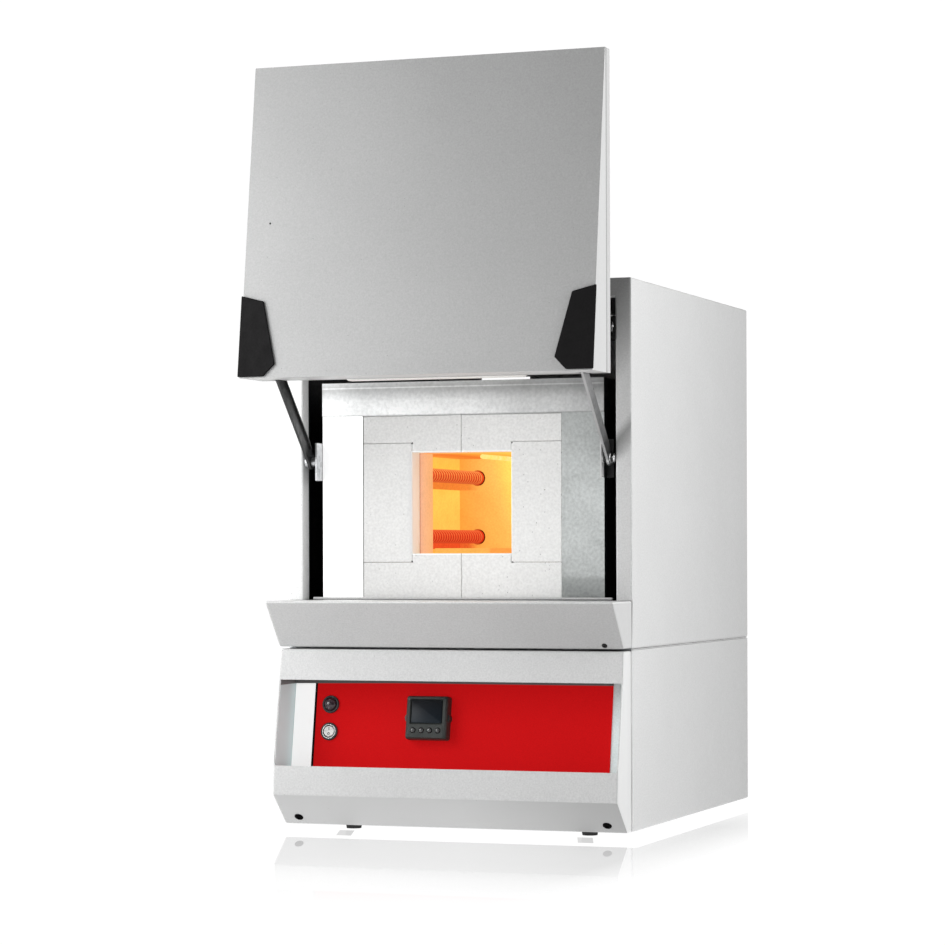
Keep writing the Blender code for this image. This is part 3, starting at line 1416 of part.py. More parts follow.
def cable_gland(base):
    """The gland of the mains inlet: a hexagon, a domed nut and a bore right through."""
    nut_back = FIT + GLAND_NUT
    dome = GLAND_REACH + nut_back
    profile = [
        (GLAND_BORE, dome),
        (GLAND_DOME_RADIUS - GLAND_EDGE, dome),
        (GLAND_DOME_RADIUS, dome - GLAND_EDGE),
        (GLAND_DOME_RADIUS, nut_back - FIT),
        (GLAND_RADIUS, nut_back - FIT),
        (GLAND_RADIUS, -GLAND_TAIL),
        (GLAND_BORE, -GLAND_TAIL),
        (GLAND_BORE, dome),
    ]
    place = (GLAND_X, BODY_DEPTH, GLAND_Z)
    black = plastic("gland_plastic", 0.03)
    gland = turned("cable_gland", profile, ROUND_STEPS, black, base, place, TURN_TO_BACK)
    bore = ring((0, 0), (GLAND_BORE + GLAND_RADIUS) / 2, BORE_STEPS)
    outline = arc((0, 0), GLAND_NUT_RADIUS, GLAND_NUT_TURN, GLAND_NUT_TURN + 360, GLAND_NUT_SIDES)[:-1]
    nut = pierced(outline, [bore], GLAND_NUT, UPRIGHT)
    bmesh.ops.translate(nut, verts=nut.verts, vec=(GLAND_X, BODY_DEPTH + FIT + GLAND_NUT / 2, GLAND_Z))
    return joined(gland, nut, "gland_nut")


def power_unit(base):
    """The power controller: a finned heat sink on the lower case's floor, with a module on top."""
    floor = FOOT_HEIGHT + SHEET + FIT
    half = HEAT_SINK_WIDTH / 2
    top = HEAT_SINK_FIN + HEAT_SINK_BASE
    pitch = (HEAT_SINK_WIDTH - HEAT_SINK_FIN_THICKNESS) / (HEAT_SINK_FINS - 1)
    outline = [(half, top), (-half, top)]
    for index in range(HEAT_SINK_FINS):
        left = -half + index * pitch
        right = left + HEAT_SINK_FIN_THICKNESS
        outline += [(left, HEAT_SINK_FIN), (left, 0), (right, 0), (right, HEAT_SINK_FIN)]
    del outline[2]
    del outline[-1]
    place = Vector((HEAT_SINK_X, HEAT_SINK_Y, floor))
    fins = extruded(outline, HEAT_SINK_LENGTH, UPRIGHT)
    sink = add("power_unit", fins, metal("heat_sink", 0.3, 0.5), base, place)
    half = Vector((THYRISTOR_WIDTH / 2, THYRISTOR_LENGTH / 2, 0))
    foot = place + Vector((0, 0, top - FIT))
    head = place + Vector((0, 0, top + THYRISTOR_HEIGHT))
    return joined(sink, block(foot - half, head + half), "thyristor")


def build():
    base = empty("furnace", (0, -MIDDLE_Y, 0))
    upper_case(base)
    lower_case(base)
    deck_plate(base)
    feet(base)
    sill(base)
    fascia(base)
    panel = empty("panel_plane", (0, PANEL_Y, PANEL_Z), base)
    panel.rotation_euler = (math.radians(90) - PANEL_TILT, 0, 0)
    control_panel(panel)
    controller(panel)
    lamp(panel)
    rocker_switch(panel)
    chamber_box(base)
    chamber_top_band(base)
    insulation(base)
    face_bricks(base)
    lining(base)
    elements(base)
    terminal_straps(base)
    thermocouple(base)
    arm_brackets(base)
    lift_rail(base)
    door_switch(base)
    lift_axis = upper_arm_frame(base)
    lower_arms(base)
    door(lift_axis)
    rear_panels(base)
    rear_guard(base)
    cable_gland(base)
    power_unit(base)


build()
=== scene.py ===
"""Looks of a bench chamber furnace, door up: finishes, hot chamber, small fasteners, light and camera."""

import math

import bmesh
import bpy
from mathutils import Matrix, Vector


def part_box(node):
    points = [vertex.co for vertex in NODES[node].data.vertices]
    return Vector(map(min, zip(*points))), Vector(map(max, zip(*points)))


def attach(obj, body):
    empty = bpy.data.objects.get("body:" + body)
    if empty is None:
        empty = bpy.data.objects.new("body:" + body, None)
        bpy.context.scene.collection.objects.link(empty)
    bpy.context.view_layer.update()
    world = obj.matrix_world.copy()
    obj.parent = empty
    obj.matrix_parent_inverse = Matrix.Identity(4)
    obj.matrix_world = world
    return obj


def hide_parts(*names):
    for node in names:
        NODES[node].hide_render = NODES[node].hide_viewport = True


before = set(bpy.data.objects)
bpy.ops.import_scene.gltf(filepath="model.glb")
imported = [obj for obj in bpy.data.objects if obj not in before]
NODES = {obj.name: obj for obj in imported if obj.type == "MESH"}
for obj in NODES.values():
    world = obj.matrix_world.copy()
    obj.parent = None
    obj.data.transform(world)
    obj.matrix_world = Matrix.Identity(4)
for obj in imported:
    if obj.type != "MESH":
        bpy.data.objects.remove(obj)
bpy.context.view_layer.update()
SCENE = bpy.context.scene
CABINET = "cabinet"
DOOR = "door"
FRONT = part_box("upper_case")[0].y
CASE_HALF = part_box("upper_case")[1].x
HEXAGON = 6
REAR, GUARD_MIDDLE = 0.522, 0.5285
THROAT = (0.0635, 0.3335, 0.4558)  # half width, low and high of the opening in the bricks
HOT_END = 0.352  # rear end of the glowing part, from the case's front
RECESS_SHADE = 0.1779
FIELD_END, FILM_START = -0.1878, -0.1848  # the black line between the white field and the red film
SIDES = (("left", -1), ("right", 1))


def at(x, y, z):
    """A point whose y is counted from the case's front plane."""
    return Vector((x, FRONT + y, z))


def srgb(*values):
    """Linear colour of an 8-bit one."""
    return tuple(((v / 255 + 0.055) / 1.055) ** 2.4 if v > 10 else v / 3295 for v in values)


class Look:
    """A Principled material whose textures read the object's own coordinates, in metres."""

    def __init__(self, name, roughness=0.5, metallic=0.0, **sockets):
        self.material = bpy.data.materials.new(name)
        self.material.use_nodes = True
        self.tree = self.material.node_tree
        self.shader = self.tree.nodes["Principled BSDF"]
        self.feed(self.shader.inputs["Roughness"], roughness)
        self.feed(self.shader.inputs["Metallic"], metallic)
        for key, value in sockets.items():
            self.feed(self.shader.inputs[key.replace("_", " ")], value)
        self.place = self.node("ShaderNodeTexCoord").outputs["Object"]
        split = self.node("ShaderNodeSeparateXYZ", {"Vector": self.place})
        self.x, self.y, self.z = (split.outputs[axis] for axis in "XYZ")

    def feed(self, socket, value):
        if isinstance(value, bpy.types.NodeSocket):
            self.tree.links.new(value, socket)
        else:
            if socket.type == "RGBA" and len(value) == 3:
                value = (*value, 1.0)
            socket.default_value = value

    def node(self, kind, inputs=None, **settings):
        made = self.tree.nodes.new(kind)
        for key, value in settings.items():
            setattr(made, key, value)
        for key, value in (inputs or {}).items():
            self.feed(made.inputs[key], value)
        return made

    def sum(self, operation, first, second=0.0):
        return self.node("ShaderNodeMath", {0: first, 1: second}, operation=operation).outputs[0]

    def stretched(self, scale):
        return self.node("ShaderNodeVectorMath", {0: self.place, 1: scale}, operation="MULTIPLY").outputs[0]

    def noise(self, scale, detail=2.0, stretch=None, distortion=0.0):
        place = self.stretched(stretch) if stretch else self.place
        inputs = {"Vector": place, "Scale": scale, "Detail": detail, "Distortion": distortion}
        return self.node("ShaderNodeTexNoise", inputs).outputs["Fac"]

    def cells(self, scale, output="Distance"):
        return self.node("ShaderNodeTexVoronoi", {"Vector": self.place, "Scale": scale}).outputs[output]

    def span(self, value, low, high, to_low=0.0, to_high=1.0):
        inputs = {"Value": value, "From Min": low, "From Max": high, "To Min": to_low, "To Max": to_high}
        return self.node("ShaderNodeMapRange", inputs).outputs[0]

    def ramp(self, value, *stops):
        made = self.node("ShaderNodeValToRGB", {"Fac": value})
        band = made.color_ramp
        while len(band.elements) < len(stops):
            band.elements.new(0.5)
        for element, (place, colour) in zip(band.elements, stops):
            element.position = place
            element.color = (*colour, 1.0)
        return made.outputs["Color"]

    def greys(self, value, *stops):
        """A ramp whose stops are (place, grey)."""
        return self.ramp(value, *[(place, (shade,) * 3) for place, shade in stops])

    def mix(self, value, first, second, blend="MIX"):
        made = self.node("ShaderNodeMix", data_type="RGBA", blend_type=blend)
        for index, given in ((0, value), (6, first), (7, second)):
            self.feed(made.inputs[index], given)
        return made.outputs[2]

    def times(self, first, second):
        return self.mix(1.0, first, second, "MULTIPLY")

    def colour(self, value):
        self.feed(self.shader.inputs["Base Color"], value)
        return self

    def rough(self, value):
        self.feed(self.shader.inputs["Roughness"], value)
        return self

    def glow(self, value, strength):
        self.feed(self.shader.inputs["Emission Color"], value)
        self.feed(self.shader.inputs["Emission Strength"], strength)
        return self

    def bump(self, height, strength, distance):
        held = self.shader.inputs["Normal"]
        made = self.node("ShaderNodeBump", {"Height": height, "Strength": strength, "Distance": distance})
        if held.is_linked:
            self.tree.links.new(held.links[0].from_socket, made.inputs["Normal"])
        self.tree.links.new(made.outputs["Normal"], held)
        return self

    def pits(self, scale, size, share):
        """1 in a share of the cells, within size of their middles."""
        near = self.sum("LESS_THAN", self.cells(scale), size)
        pick = self.node("ShaderNodeSeparateColor", {0: self.cells(scale, "Color")}).outputs[0]
        return self.sum("MULTIPLY", near, self.sum("GREATER_THAN", pick, 1 - share))

    def facing(self, axis):
        """Part of the surface's direction along an axis of the model."""
        normal = self.node("ShaderNodeTexCoord").outputs["Normal"]
        return self.node("ShaderNodeSeparateXYZ", {"Vector": normal}).outputs[axis]


def scaled(colour, factor):
    return tuple(min(1.0, value * factor) for value in colour)


def between(look, value, low, high):
    return look.sum("MULTIPLY", look.sum("GREATER_THAN", value, low), look.sum("LESS_THAN", value, high))


def powder(name, shade, under=None, painted_side_light=1.0, fades=(), extra=None):
    """Light grey powder coat: orange-peel grain and darker specks, with painted light and shade by place
    and by a face's direction.

    under has the factors of painted light and shade on faces that look down, at the left and at the right,
    and the next argument the factor of painted light on faces that look sideways. Each of fades is an axis,
    two places on it and the factors of painted light and shade there.
    """
    base = (shade, shade * 1.004, shade * 1.002)
    look = Look(name, Specular_IOR_Level=0.45)
    grain = look.noise(520, 3)
    tone = look.ramp(grain, (0.30, scaled(base, 0.92)), (0.70, scaled(base, 1.07)))
    tone = look.times(tone, look.greys(look.noise(7, 2), (0.35, 0.965), (0.65, 1.0)))
    # Painted light and shade: the tone is graded along each given axis.
    for axis, low, high, at_low, at_high in fades:
        tone = look.times(tone, look.span(getattr(look, axis), low, high, at_low, at_high))
    # Painted light and shade on faces that look down.
    if under:
        left, right = under
        across = look.span(look.x, 0.02, 0.21)
        below = look.ramp(across, (0.0, scaled(base, left)), (1.0, scaled(base, right)))
        tone = look.mix(look.span(look.facing("Z"), -0.1, -0.6), tone, below)
    # Painted light on faces that look sideways.
    if painted_side_light != 1.0:
        sideways = look.span(look.sum("ABSOLUTE", look.facing("X")), 0.6, 0.9)
        tone = look.mix(sideways, tone, scaled(base, painted_side_light))
    tone = look.mix(look.pits(160, 0.10, 0.10), tone, scaled(base, 0.72))
    look.colour(extra(look, tone) if extra else tone)
    look.rough(look.span(look.noise(260, 2), 0.3, 0.7, 0.36, 0.52))
    look.bump(look.noise(900, 2), 0.35, 0.00025)
    return look.bump(look.noise(90, 2), 0.08, 0.0004)


def case_painted_shade(look, tone):
    """Painted light and shade on the posts' fronts, with the arm's painted shadow on the right one, and
    painted shade, near black, inside the upper case.
    """
    front = look.span(look.facing("Y"), -0.6, -0.9)
    # Painted shade down the right post's front, darker towards the top and crossed by a slanted band of the
    # arm's painted shadow; painted light on the left post's front, and a little painted shade beside the
    # sill.
    slanted = look.sum("SUBTRACT", look.z, look.sum("MULTIPLY", look.sum("SUBTRACT", look.x, 0.2078), 1.2))
    right = look.greys(
        look.span(slanted, 0.43, 0.65),
        (0.0, 0.90), (0.06, 0.95), (0.12, 0.82), (0.195, 0.50), (0.27, 0.90), (0.50, 0.94),
        (0.66, 0.73), (1.0, 0.37),
    )
    post = look.mix(look.sum("GREATER_THAN", look.x, 0.0), (1.24,) * 3, right)
    beside_sill = look.sum("LESS_THAN", look.z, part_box("sill")[1].z)
    tone = look.mix(front, tone, look.mix(beside_sill, look.times(tone, post), (0.95,) * 3))
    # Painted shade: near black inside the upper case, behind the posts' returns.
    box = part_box("upper_case")[1]
    within = look.sum("LESS_THAN", look.sum("ABSOLUTE", look.x), CASE_HALF - 0.0013)
    for test in (
        look.sum("GREATER_THAN", look.y, FRONT + 0.0185),
        look.sum("LESS_THAN", look.z, box.z - 0.0013),
        look.sum("LESS_THAN", look.y, box.y - 0.002),
    ):
        within = look.sum("MULTIPLY", within, test)
    return look.mix(within, tone, (0.004,) * 3)


def sill_painted_highlight(look, tone):
    """A painted highlight along the slope's folded upper edge."""
    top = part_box("sill")[1].z
    edge = look.span(look.z, top - 0.0026, top - 0.0014)
    return look.mix(edge, tone, look.times(tone, (1.45,) * 3))


def lip_shade(look, tone):
    """Dark at the foot of the sill's upstand."""
    return look.mix(look.span(look.z, 0.2796, 0.2801), (0.22,) * 3, tone)


def tray_seam_shadow(look, tone):
    """A painted shadow where the tray meets the cover."""
    near = look.sum("LESS_THAN", look.y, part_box("door_tray")[0].y + 0.0032)
    return look.mix(near, tone, look.times(tone, (0.62,) * 3))


def recess_shade(look):
    """The line of shade right under the upper strip, a little lower at the left."""
    leftward = look.sum("MINIMUM", look.sum("ADD", look.x, 0.079), 0.0)
    level = look.sum("SUBTRACT", look.z, look.sum("MULTIPLY", leftward, 0.012))
    return look.span(level, RECESS_SHADE, RECESS_SHADE + 0.0008)


def plate_tone(look, tone):
    """The bare plate beside the film is a little cooler than the case."""
    return look.times(tone, (0.93, 1.0, 1.0))


def recess_tint_and_shade(look, tone):
    """Cheeks beside the red panel: a cooler tint, and painted shade under the upper strip."""
    inward = look.sum("LESS_THAN", look.sum("MULTIPLY", look.x, look.facing("X")), -0.1)
    inside = look.sum("MULTIPLY", inward, between(look, look.z, 0.077, 0.187))
    # Painted shade under the upper strip, and a cooler tint below it.
    cool = look.mix(recess_shade(look), (0.90, 1.07, 1.08), (0.20,) * 3)
    return look.mix(inside, tone, look.times(tone, cool))


def galvanised(name, light, dark, roughness=0.34, spangle=70):
    """Zinc-coated sheet: spangles, a cloudy bloom and faint scratches."""
    look = Look(name, metallic=1.0)
    cell = look.node("ShaderNodeSeparateColor", {0: look.cells(spangle, "Color")}).outputs[0]
    fine = look.noise(420, 4)
    mottled = look.sum("ADD", look.sum("MULTIPLY", cell, 0.35), look.sum("MULTIPLY", fine, 0.65))
    mottled = look.sum("ADD", mottled, look.span(look.noise(16, 3, distortion=0.6), 0.3, 0.7, -0.22, 0.22))
    look.colour(look.ramp(mottled, (0.22, dark), (0.72, light)))
    look.rough(look.span(mottled, 0.2, 0.8, roughness + 0.14, roughness - 0.06))
    scratch = look.noise(60, 3, stretch=(1, 1, 14))
    look.bump(scratch, 0.05, 0.0003)
    return look.bump(fine, 0.06, 0.0002)


def steel(name, shade, roughness=0.3, along=(1, 1, 1), edge_highlight=1.0):
    """Plain steel with a drawn grain, small dark marks and, where asked, a painted highlight in another tone
    on its narrow sides.
    """
    look = Look(name, metallic=1.0)
    grain = look.noise(700, 3, stretch=along)
    base = (shade, shade, shade * 1.01)
    tone = look.ramp(grain, (0.3, scaled(base, 0.78)), (0.7, scaled(base, 1.2)))
    # Painted highlight on the narrow sides.
    if edge_highlight != 1.0:
        narrow = look.span(look.sum("ABSOLUTE", look.facing("X")), 0.8, 0.6)
        tone = look.mix(narrow, tone, scaled(base, edge_highlight))
    look.colour(look.mix(look.pits(240, 0.12, 0.14), tone, scaled(base, 0.45)))
    look.rough(look.span(look.noise(120, 3), 0.3, 0.7, roughness - 0.07, roughness + 0.12))
    return look.bump(grain, 0.12, 0.0002)


def plastic(name, colour, roughness=0.38, grain=900, depth=0.2, sheen=0.4):
    """Moulded plastic or rubber with a fine spark-eroded texture."""
    look = Look(name, Specular_IOR_Level=sheen)
    fine = look.noise(grain, 2)
    look.colour(look.ramp(fine, (0.3, scaled(colour, 0.8)), (0.7, scaled(colour, 1.25))))
    look.rough(look.span(look.noise(70, 2), 0.3, 0.7, roughness - 0.06, roughness + 0.08))
    return look.bump(fine, depth, 0.0002)


def brick(name, shade=0.86):
    """Insulating firebrick: chalky white with open pores, dark grains and chipped corners at the throat, with
    painted light and shade by place.
    """
    look = Look(name, roughness=0.95, Specular_IOR_Level=0.15)
    base = (shade, shade, shade * 0.99)
    chalk = look.ramp(look.noise(330, 4), (0.3, scaled(base, 0.90)), (0.7, scaled(base, 1.04)))
    # Painted light and shade: lighter towards the bottom, darker towards the left.
    chalk = look.times(chalk, look.span(look.z, 0.28, 0.40, 1.07, 1.0))
    chalk = look.times(chalk, look.span(look.x, -0.12, 0.04, 0.80, 0.97))
    pores = look.pits(190, 0.15, 0.16)
    grains = look.pits(95, 0.09, 0.07)
    tone = look.mix(pores, chalk, scaled((shade,) * 3, 0.66))
    tone = look.mix(grains, tone, scaled((shade, shade * 0.97, shade * 0.92), 0.5))
    # Painted shade along the throat's left edge, and near white on its jambs.
    half, low, high = THROAT
    tall = between(look, look.z, low - 0.001, high + 0.001)
    beside = look.sum("LESS_THAN", look.x, 0.001 - half)
    rim = look.sum("MULTIPLY", look.span(look.x, -half - 0.007, -half), beside)
    rim = look.sum("MULTIPLY", tall, rim)
    tone = look.mix(look.sum("MULTIPLY", rim, 0.5), tone, scaled((shade,) * 3, 0.72))
    jamb = look.sum("MULTIPLY", tall, look.sum("LESS_THAN", look.sum("ABSOLUTE", look.x), half + 0.0004))
    tone = look.mix(jamb, tone, (0.95, 0.99, 1.0))
    for x, z in ((-0.0632, 0.4662), (0.0640, 0.4650), (-0.0636, 0.3242), (0.0641, 0.3234)):
        ends = {0: look.stretched((1, 0, 1)), 1: (x, 0, z)}
        away = look.node("ShaderNodeVectorMath", ends, operation="DISTANCE").outputs["Value"]
        ragged = look.sum("ADD", away, look.span(look.noise(700, 2), 0.3, 0.7, -0.0009, 0.0009))
        tone = look.mix(look.span(ragged, 0.0014, 0.0008), tone, (0.05, 0.05, 0.05))
    look.colour(tone)
    look.bump(look.sum("SUBTRACT", look.noise(260, 4), pores), 0.5, 0.0006)
    return look


def fibre(name, shade):
    """Pale vacuum-formed fibre board."""
    look = Look(name, roughness=1.0, Specular_IOR_Level=0.1)
    strands = look.noise(300, 4, stretch=(1, 1, 5), distortion=1.2)
    base = tuple(shade * value for value in (1.0, 0.985, 0.95))
    look.colour(look.ramp(strands, (0.25, scaled(base, 0.85)), (0.75, scaled(base, 1.05))))
    return look.bump(strands, 0.5, 0.0008)


def hot(name, colour_of, reach=(0.11, 0.30, 0.47), grain=0.07):
    """Refractory that glows with a colour of its place.

    reach is the half width, low and high of the part that glows.
    """
    look = Look(name, roughness=0.95, Specular_IOR_Level=0.1)
    speckle = look.noise(420, 4)
    blotch = look.noise(38, 3)
    look.colour(look.ramp(speckle, (0.3, srgb(120, 62, 34)), (0.7, srgb(138, 76, 44))))
    shade = look.ramp(speckle, (0.25, (1 - 2 * grain,) * 3), (0.75, (1.0,) * 3))
    cloud = look.ramp(blotch, (0.3, (0.93, 0.90, 0.86)), (0.7, (1.0,) * 3))
    tone = look.times(look.times(colour_of(look), shade), cloud)
    half, low, high = reach
    inside = look.sum("LESS_THAN", look.sum("ABSOLUTE", look.x), half)
    before = look.sum("LESS_THAN", look.y, FRONT + HOT_END)
    for test in (look.sum("GREATER_THAN", look.z, low), look.sum("LESS_THAN", look.z, high), before):
        inside = look.sum("MULTIPLY", inside, test)
    look.glow(tone, inside)
    return look.bump(speckle, 0.4, 0.0006)


def under_rods(look, tone, reach):
    """The red shade below each rod, as far as reach says."""
    for low, high, shade in ((0.4150, 0.4240, srgb(232, 134, 54)), (0.3395, 0.3480, srgb(222, 76, 38))):
        tone = look.mix(look.sum("MULTIPLY", between(look, look.z, low, high), reach), tone, shade)
    return tone


def lining_colour(look):
    """Yellow side walls with a shade under each rod, an orange roof and a paler floor."""
    walls = look.ramp(
        look.span(look.z, 0.332, 0.455),
        (0.0, srgb(250, 182, 74)),
        (0.25, srgb(250, 204, 90)),
        (0.6, srgb(250, 212, 92)),
        (0.85, srgb(252, 208, 80)),
        (1.0, srgb(250, 200, 84)),
    )
    walls = under_rods(look, walls, 1.0)
    roof = look.ramp(
        look.span(look.x, -0.10, 0.04),
        (0.0, srgb(238, 148, 58)),
        (0.3, srgb(230, 118, 42)),
        (1.0, srgb(252, 214, 84)),
    )
    tone = look.mix(look.sum("LESS_THAN", look.facing("Z"), -0.5), walls, roof)
    return look.mix(look.sum("GREATER_THAN", look.facing("Z"), 0.5), tone, srgb(246, 150, 66))


def rear_colour(look):
    """Orange at the left, nearly white-yellow at the upper right, and painted shade in the bores."""
    rise = look.span(look.z, 0.34, 0.455)
    right = look.span(look.x, -0.108, -0.034)
    lit = look.sum("MULTIPLY", look.sum("POWER", right, 1.5), look.span(rise, 0.0, 1.0, 0.35, 1.0))
    tone = look.ramp(
        lit,
        (0.0, srgb(244, 168, 66)),
        (0.14, srgb(247, 180, 82)),
        (0.28, srgb(249, 190, 90)),
        (0.50, srgb(250, 202, 100)),
        (0.75, srgb(252, 226, 106)),
        (1.0, srgb(254, 242, 112)),
    )
    tone = under_rods(look, tone, look.span(look.x, -0.092, -0.078, 0.85, 0.0))
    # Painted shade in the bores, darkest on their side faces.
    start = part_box("chamber_rear_wall")[0].y
    level = look.span(look.sum("ABSOLUTE", look.facing("Z")), 0.3, 0.7)
    bore = look.mix(level, srgb(110, 26, 12), srgb(206, 92, 38))
    return look.mix(look.span(look.y, start + 0.0002, start + 0.0010), tone, bore)


def collar_colour(look):
    """Pinkish jambs and an orange roof that both pale towards the front."""
    low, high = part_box("throat_collar")
    depth = look.span(look.y, low.y, high.y)
    jamb = look.ramp(
        depth,
        (0.0, srgb(150, 112, 92)),
        (0.05, srgb(226, 180, 150)),
        (0.3, srgb(234, 186, 142)),
        (1.0, srgb(236, 184, 124)),
    )
    roof = look.ramp(look.span(look.x, -0.063, 0.063), (0.0, srgb(240, 164, 96)), (1.0, srgb(252, 210, 96)))
    tone = look.mix(look.sum("LESS_THAN", look.facing("Z"), -0.5), jamb, roof)
    return look.mix(look.sum("GREATER_THAN", look.facing("Z"), 0.5), tone, srgb(244, 150, 84))


def tile_colour(look):
    """Pale yellow, more orange towards the right."""
    return look.ramp(look.span(look.x, 0.0076, 0.0116), (0.0, srgb(247, 190, 92)), (1.0, srgb(250, 166, 76)))


def sheath_colour(look):
    return look.ramp(look.noise(80), (0.3, srgb(255, 236, 110)), (0.7, srgb(255, 248, 160)))


def glowing_rod():
    """Silicon carbide at red heat: paler crests between the darker turns of the cut, and painted shade on the
    rods' undersides.
    """
    look = Look("hot_silicon_carbide", roughness=0.8, Specular_IOR_Level=0.2)
    groove = look.node("ShaderNodeAttribute", attribute_name="groove").outputs["Fac"]
    speckle = look.noise(900, 3)
    look.colour(look.ramp(speckle, (0.3, srgb(46, 12, 8)), (0.7, srgb(60, 18, 12))))
    crest = look.ramp(
        groove,
        (0.0, (0.84, 0.070, 0.012)),
        (0.10, (1.0, 0.44, 0.12)),
        (0.30, (1.0, 0.34, 0.08)),
        (0.46, (0.60, 0.022, 0.005)),
        (1.0, (0.44, 0.008, 0.002)),
    )
    lower = look.mix(look.sum("LESS_THAN", look.z, 0.393), (1.0,) * 3, (0.93, 0.50, 0.60))
    crest = look.times(crest, lower)
    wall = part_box("chamber_rear_wall")[0].y
    before = look.sum("LESS_THAN", look.y, wall + 0.02)
    within = look.sum("MULTIPLY", look.span(look.y, wall, wall + 0.0008, 1.0, 0.10), before)
    # Painted shade: the glow dims and reddens on faces that look down.
    above = look.ramp(
        look.span(look.facing("Z"), -1.0, 1.0),
        (0.0, (0.70, 0.42, 0.40)),
        (0.30, (0.88, 0.72, 0.70)),
        (0.6, (1.0,) * 3),
    )
    look.glow(look.times(crest, above), within)
    return look.bump(speckle, 0.3, 0.0003)


def printed_panel():
    """Red film with a white field at its left, a black line between them and a fine satin texture; film and
    field glow with painted light, except in a painted shadow line along their top.
    """
    look = Look("panel_film", Specular_IOR_Level=0.03)
    fine = look.noise(800, 2)
    line = look.sum("GREATER_THAN", look.x, FIELD_END)
    film = look.sum("GREATER_THAN", look.x, FILM_START)
    red = look.ramp(fine, (0.3, (0.29, 0.0010, 0.0016)), (0.7, (0.33, 0.0014, 0.002)))
    white = look.ramp(fine, (0.3, (0.52,) * 3), (0.7, (0.58,) * 3))
    # Painted shadow: a grey line under the upper strip.
    shade = recess_shade(look)
    shown = look.mix(film, look.mix(line, white, srgb(16, 15, 15)), red)
    look.colour(look.mix(shade, shown, srgb(84, 82, 81)))
    # Painted light: the film and the white field glow.
    bright = look.ramp(fine, (0.3, (0.29, 0.0035, 0.0045)), (0.7, (0.32, 0.0045, 0.0055)))
    bright = look.mix(film, look.mix(line, (0.66,) * 3, (0.0,) * 3), bright)
    look.glow(look.mix(shade, bright, (0.03,) * 3), 1.0)
    look.rough(look.span(look.noise(50, 2), 0.3, 0.7, 0.52, 0.62))
    return look.bump(fine, 0.1, 0.0001)


def screen_glass():
    """A dark display behind glass, a little bluer towards its lower edge."""
    look = Look("display_glass", Specular_IOR_Level=0.2)
    low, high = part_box("controller_window")
    rise = look.span(look.z, low.z, high.z)
    dust = look.noise(600, 2)
    tone = look.ramp(rise, (0.0, srgb(20, 30, 38)), (0.4, srgb(15, 23, 30)), (1.0, srgb(12, 16, 20)))
    look.colour(look.mix(look.sum("MULTIPLY", dust, 0.08), tone, srgb(60, 68, 80)))
    look.rough(look.span(dust, 0.3, 0.7, 0.42, 0.5))
    return look


def box_zinc():
    """The chamber box's zinc: near white with painted light and a painted glow at the left, mottled at the
    right where its darker tone is partly painted shade, darker towards its bottom and top, and painted shade,
    near black, on its flank.
    """
    look = galvanised("chamber_box_zinc", (0.93, 0.94, 0.95), (0.80, 0.82, 0.83), 0.38, 150)
    look.feed(look.shader.inputs["Metallic"], 0.15)
    held = look.shader.inputs["Base Color"].links[0].from_socket
    # Painted light: near white at the left.
    held = look.mix(look.span(look.x, -0.11, -0.06), (0.985,) * 3, held)
    # Painted light: a glow on the left front faces, which washes out the bracket's shadow.
    painted_glow = look.span(look.x, -0.13, -0.10, 0.5, 0.0)
    front = look.span(look.facing("Y"), -0.7, -0.5, 1.0, 0.0)
    look.feed(look.shader.inputs["Emission Strength"], look.sum("MULTIPLY", painted_glow, front))
    fine, soft = look.noise(260, 5), look.noise(24, 3, distortion=0.8)
    stain = look.sum("ADD", look.sum("MULTIPLY", fine, 0.6), look.sum("MULTIPLY", soft, 0.4))
    # Mottled zinc at the right, darker than the left partly from painted shade.
    right_mottle_and_shade = look.ramp(
        stain,
        (0.30, srgb(180, 184, 183)),
        (0.5, srgb(205, 209, 208)),
        (0.70, srgb(226, 230, 229)),
    )
    ends = look.greys(
        look.span(look.z, 0.28, 0.50),
        (0.0, 0.56), (0.102, 0.64), (0.127, 0.90), (0.55, 0.97), (0.8, 0.90), (1.0, 0.84),
    )
    right_mottle_and_shade = look.times(right_mottle_and_shade, ends)
    shown = look.mix(look.span(look.x, 0.05, 0.12), held, right_mottle_and_shade)
    # Painted shade: near black on faces that look to the right.
    return look.colour(look.mix(look.span(look.facing("X"), 0.5, 0.7), shown, (0.004,) * 3))


def deck_zinc():
    """Galvanised deck whose edge, seen in the seam between the cases, has a thin line of shade."""
    look = galvanised("deck_zinc", (0.70, 0.72, 0.73), (0.45, 0.47, 0.48), 0.4)
    edge = look.span(look.sum("ABSOLUTE", look.facing("X")), 0.5, 0.7)
    look.feed(look.shader.inputs["Metallic"], look.sum("SUBTRACT", 1.0, edge))
    held = look.shader.inputs["Base Color"].links[0].from_socket
    line = between(look, look.z, 0.2217, 0.2225)
    return look.colour(look.mix(edge, held, look.mix(line, (0.66,) * 3, (0.07,) * 3)))


def slot_zinc_painted_light_and_shade():
    """The right bracket: dull zinc deep beside the box; in front of that, painted light grey near the post
    and painted shade, near black, within the slot and outward of the box's side.
    """
    look = galvanised("slot_zinc_painted_light_and_shade", (0.62, 0.63, 0.64), (0.36, 0.37, 0.38), 0.34, 160)
    held = look.shader.inputs["Base Color"].links[0].from_socket
    dark, slot_start, slot_end, box_side = (0.004,) * 3, 0.0085, 0.0262, 0.1825
    deep = look.sum("GREATER_THAN", look.y, FRONT + slot_end)
    look.feed(look.shader.inputs["Metallic"], look.sum("MULTIPLY", deep, 0.2))
    # Painted light grey at the front, and painted shade, near black, behind it and outward of the box's side.
    near = look.mix(look.sum("GREATER_THAN", look.y, FRONT + slot_start), (0.62,) * 3, dark)
    near = look.mix(look.sum("GREATER_THAN", look.x, box_side), near, dark)
    return look.colour(look.mix(deep, near, held))


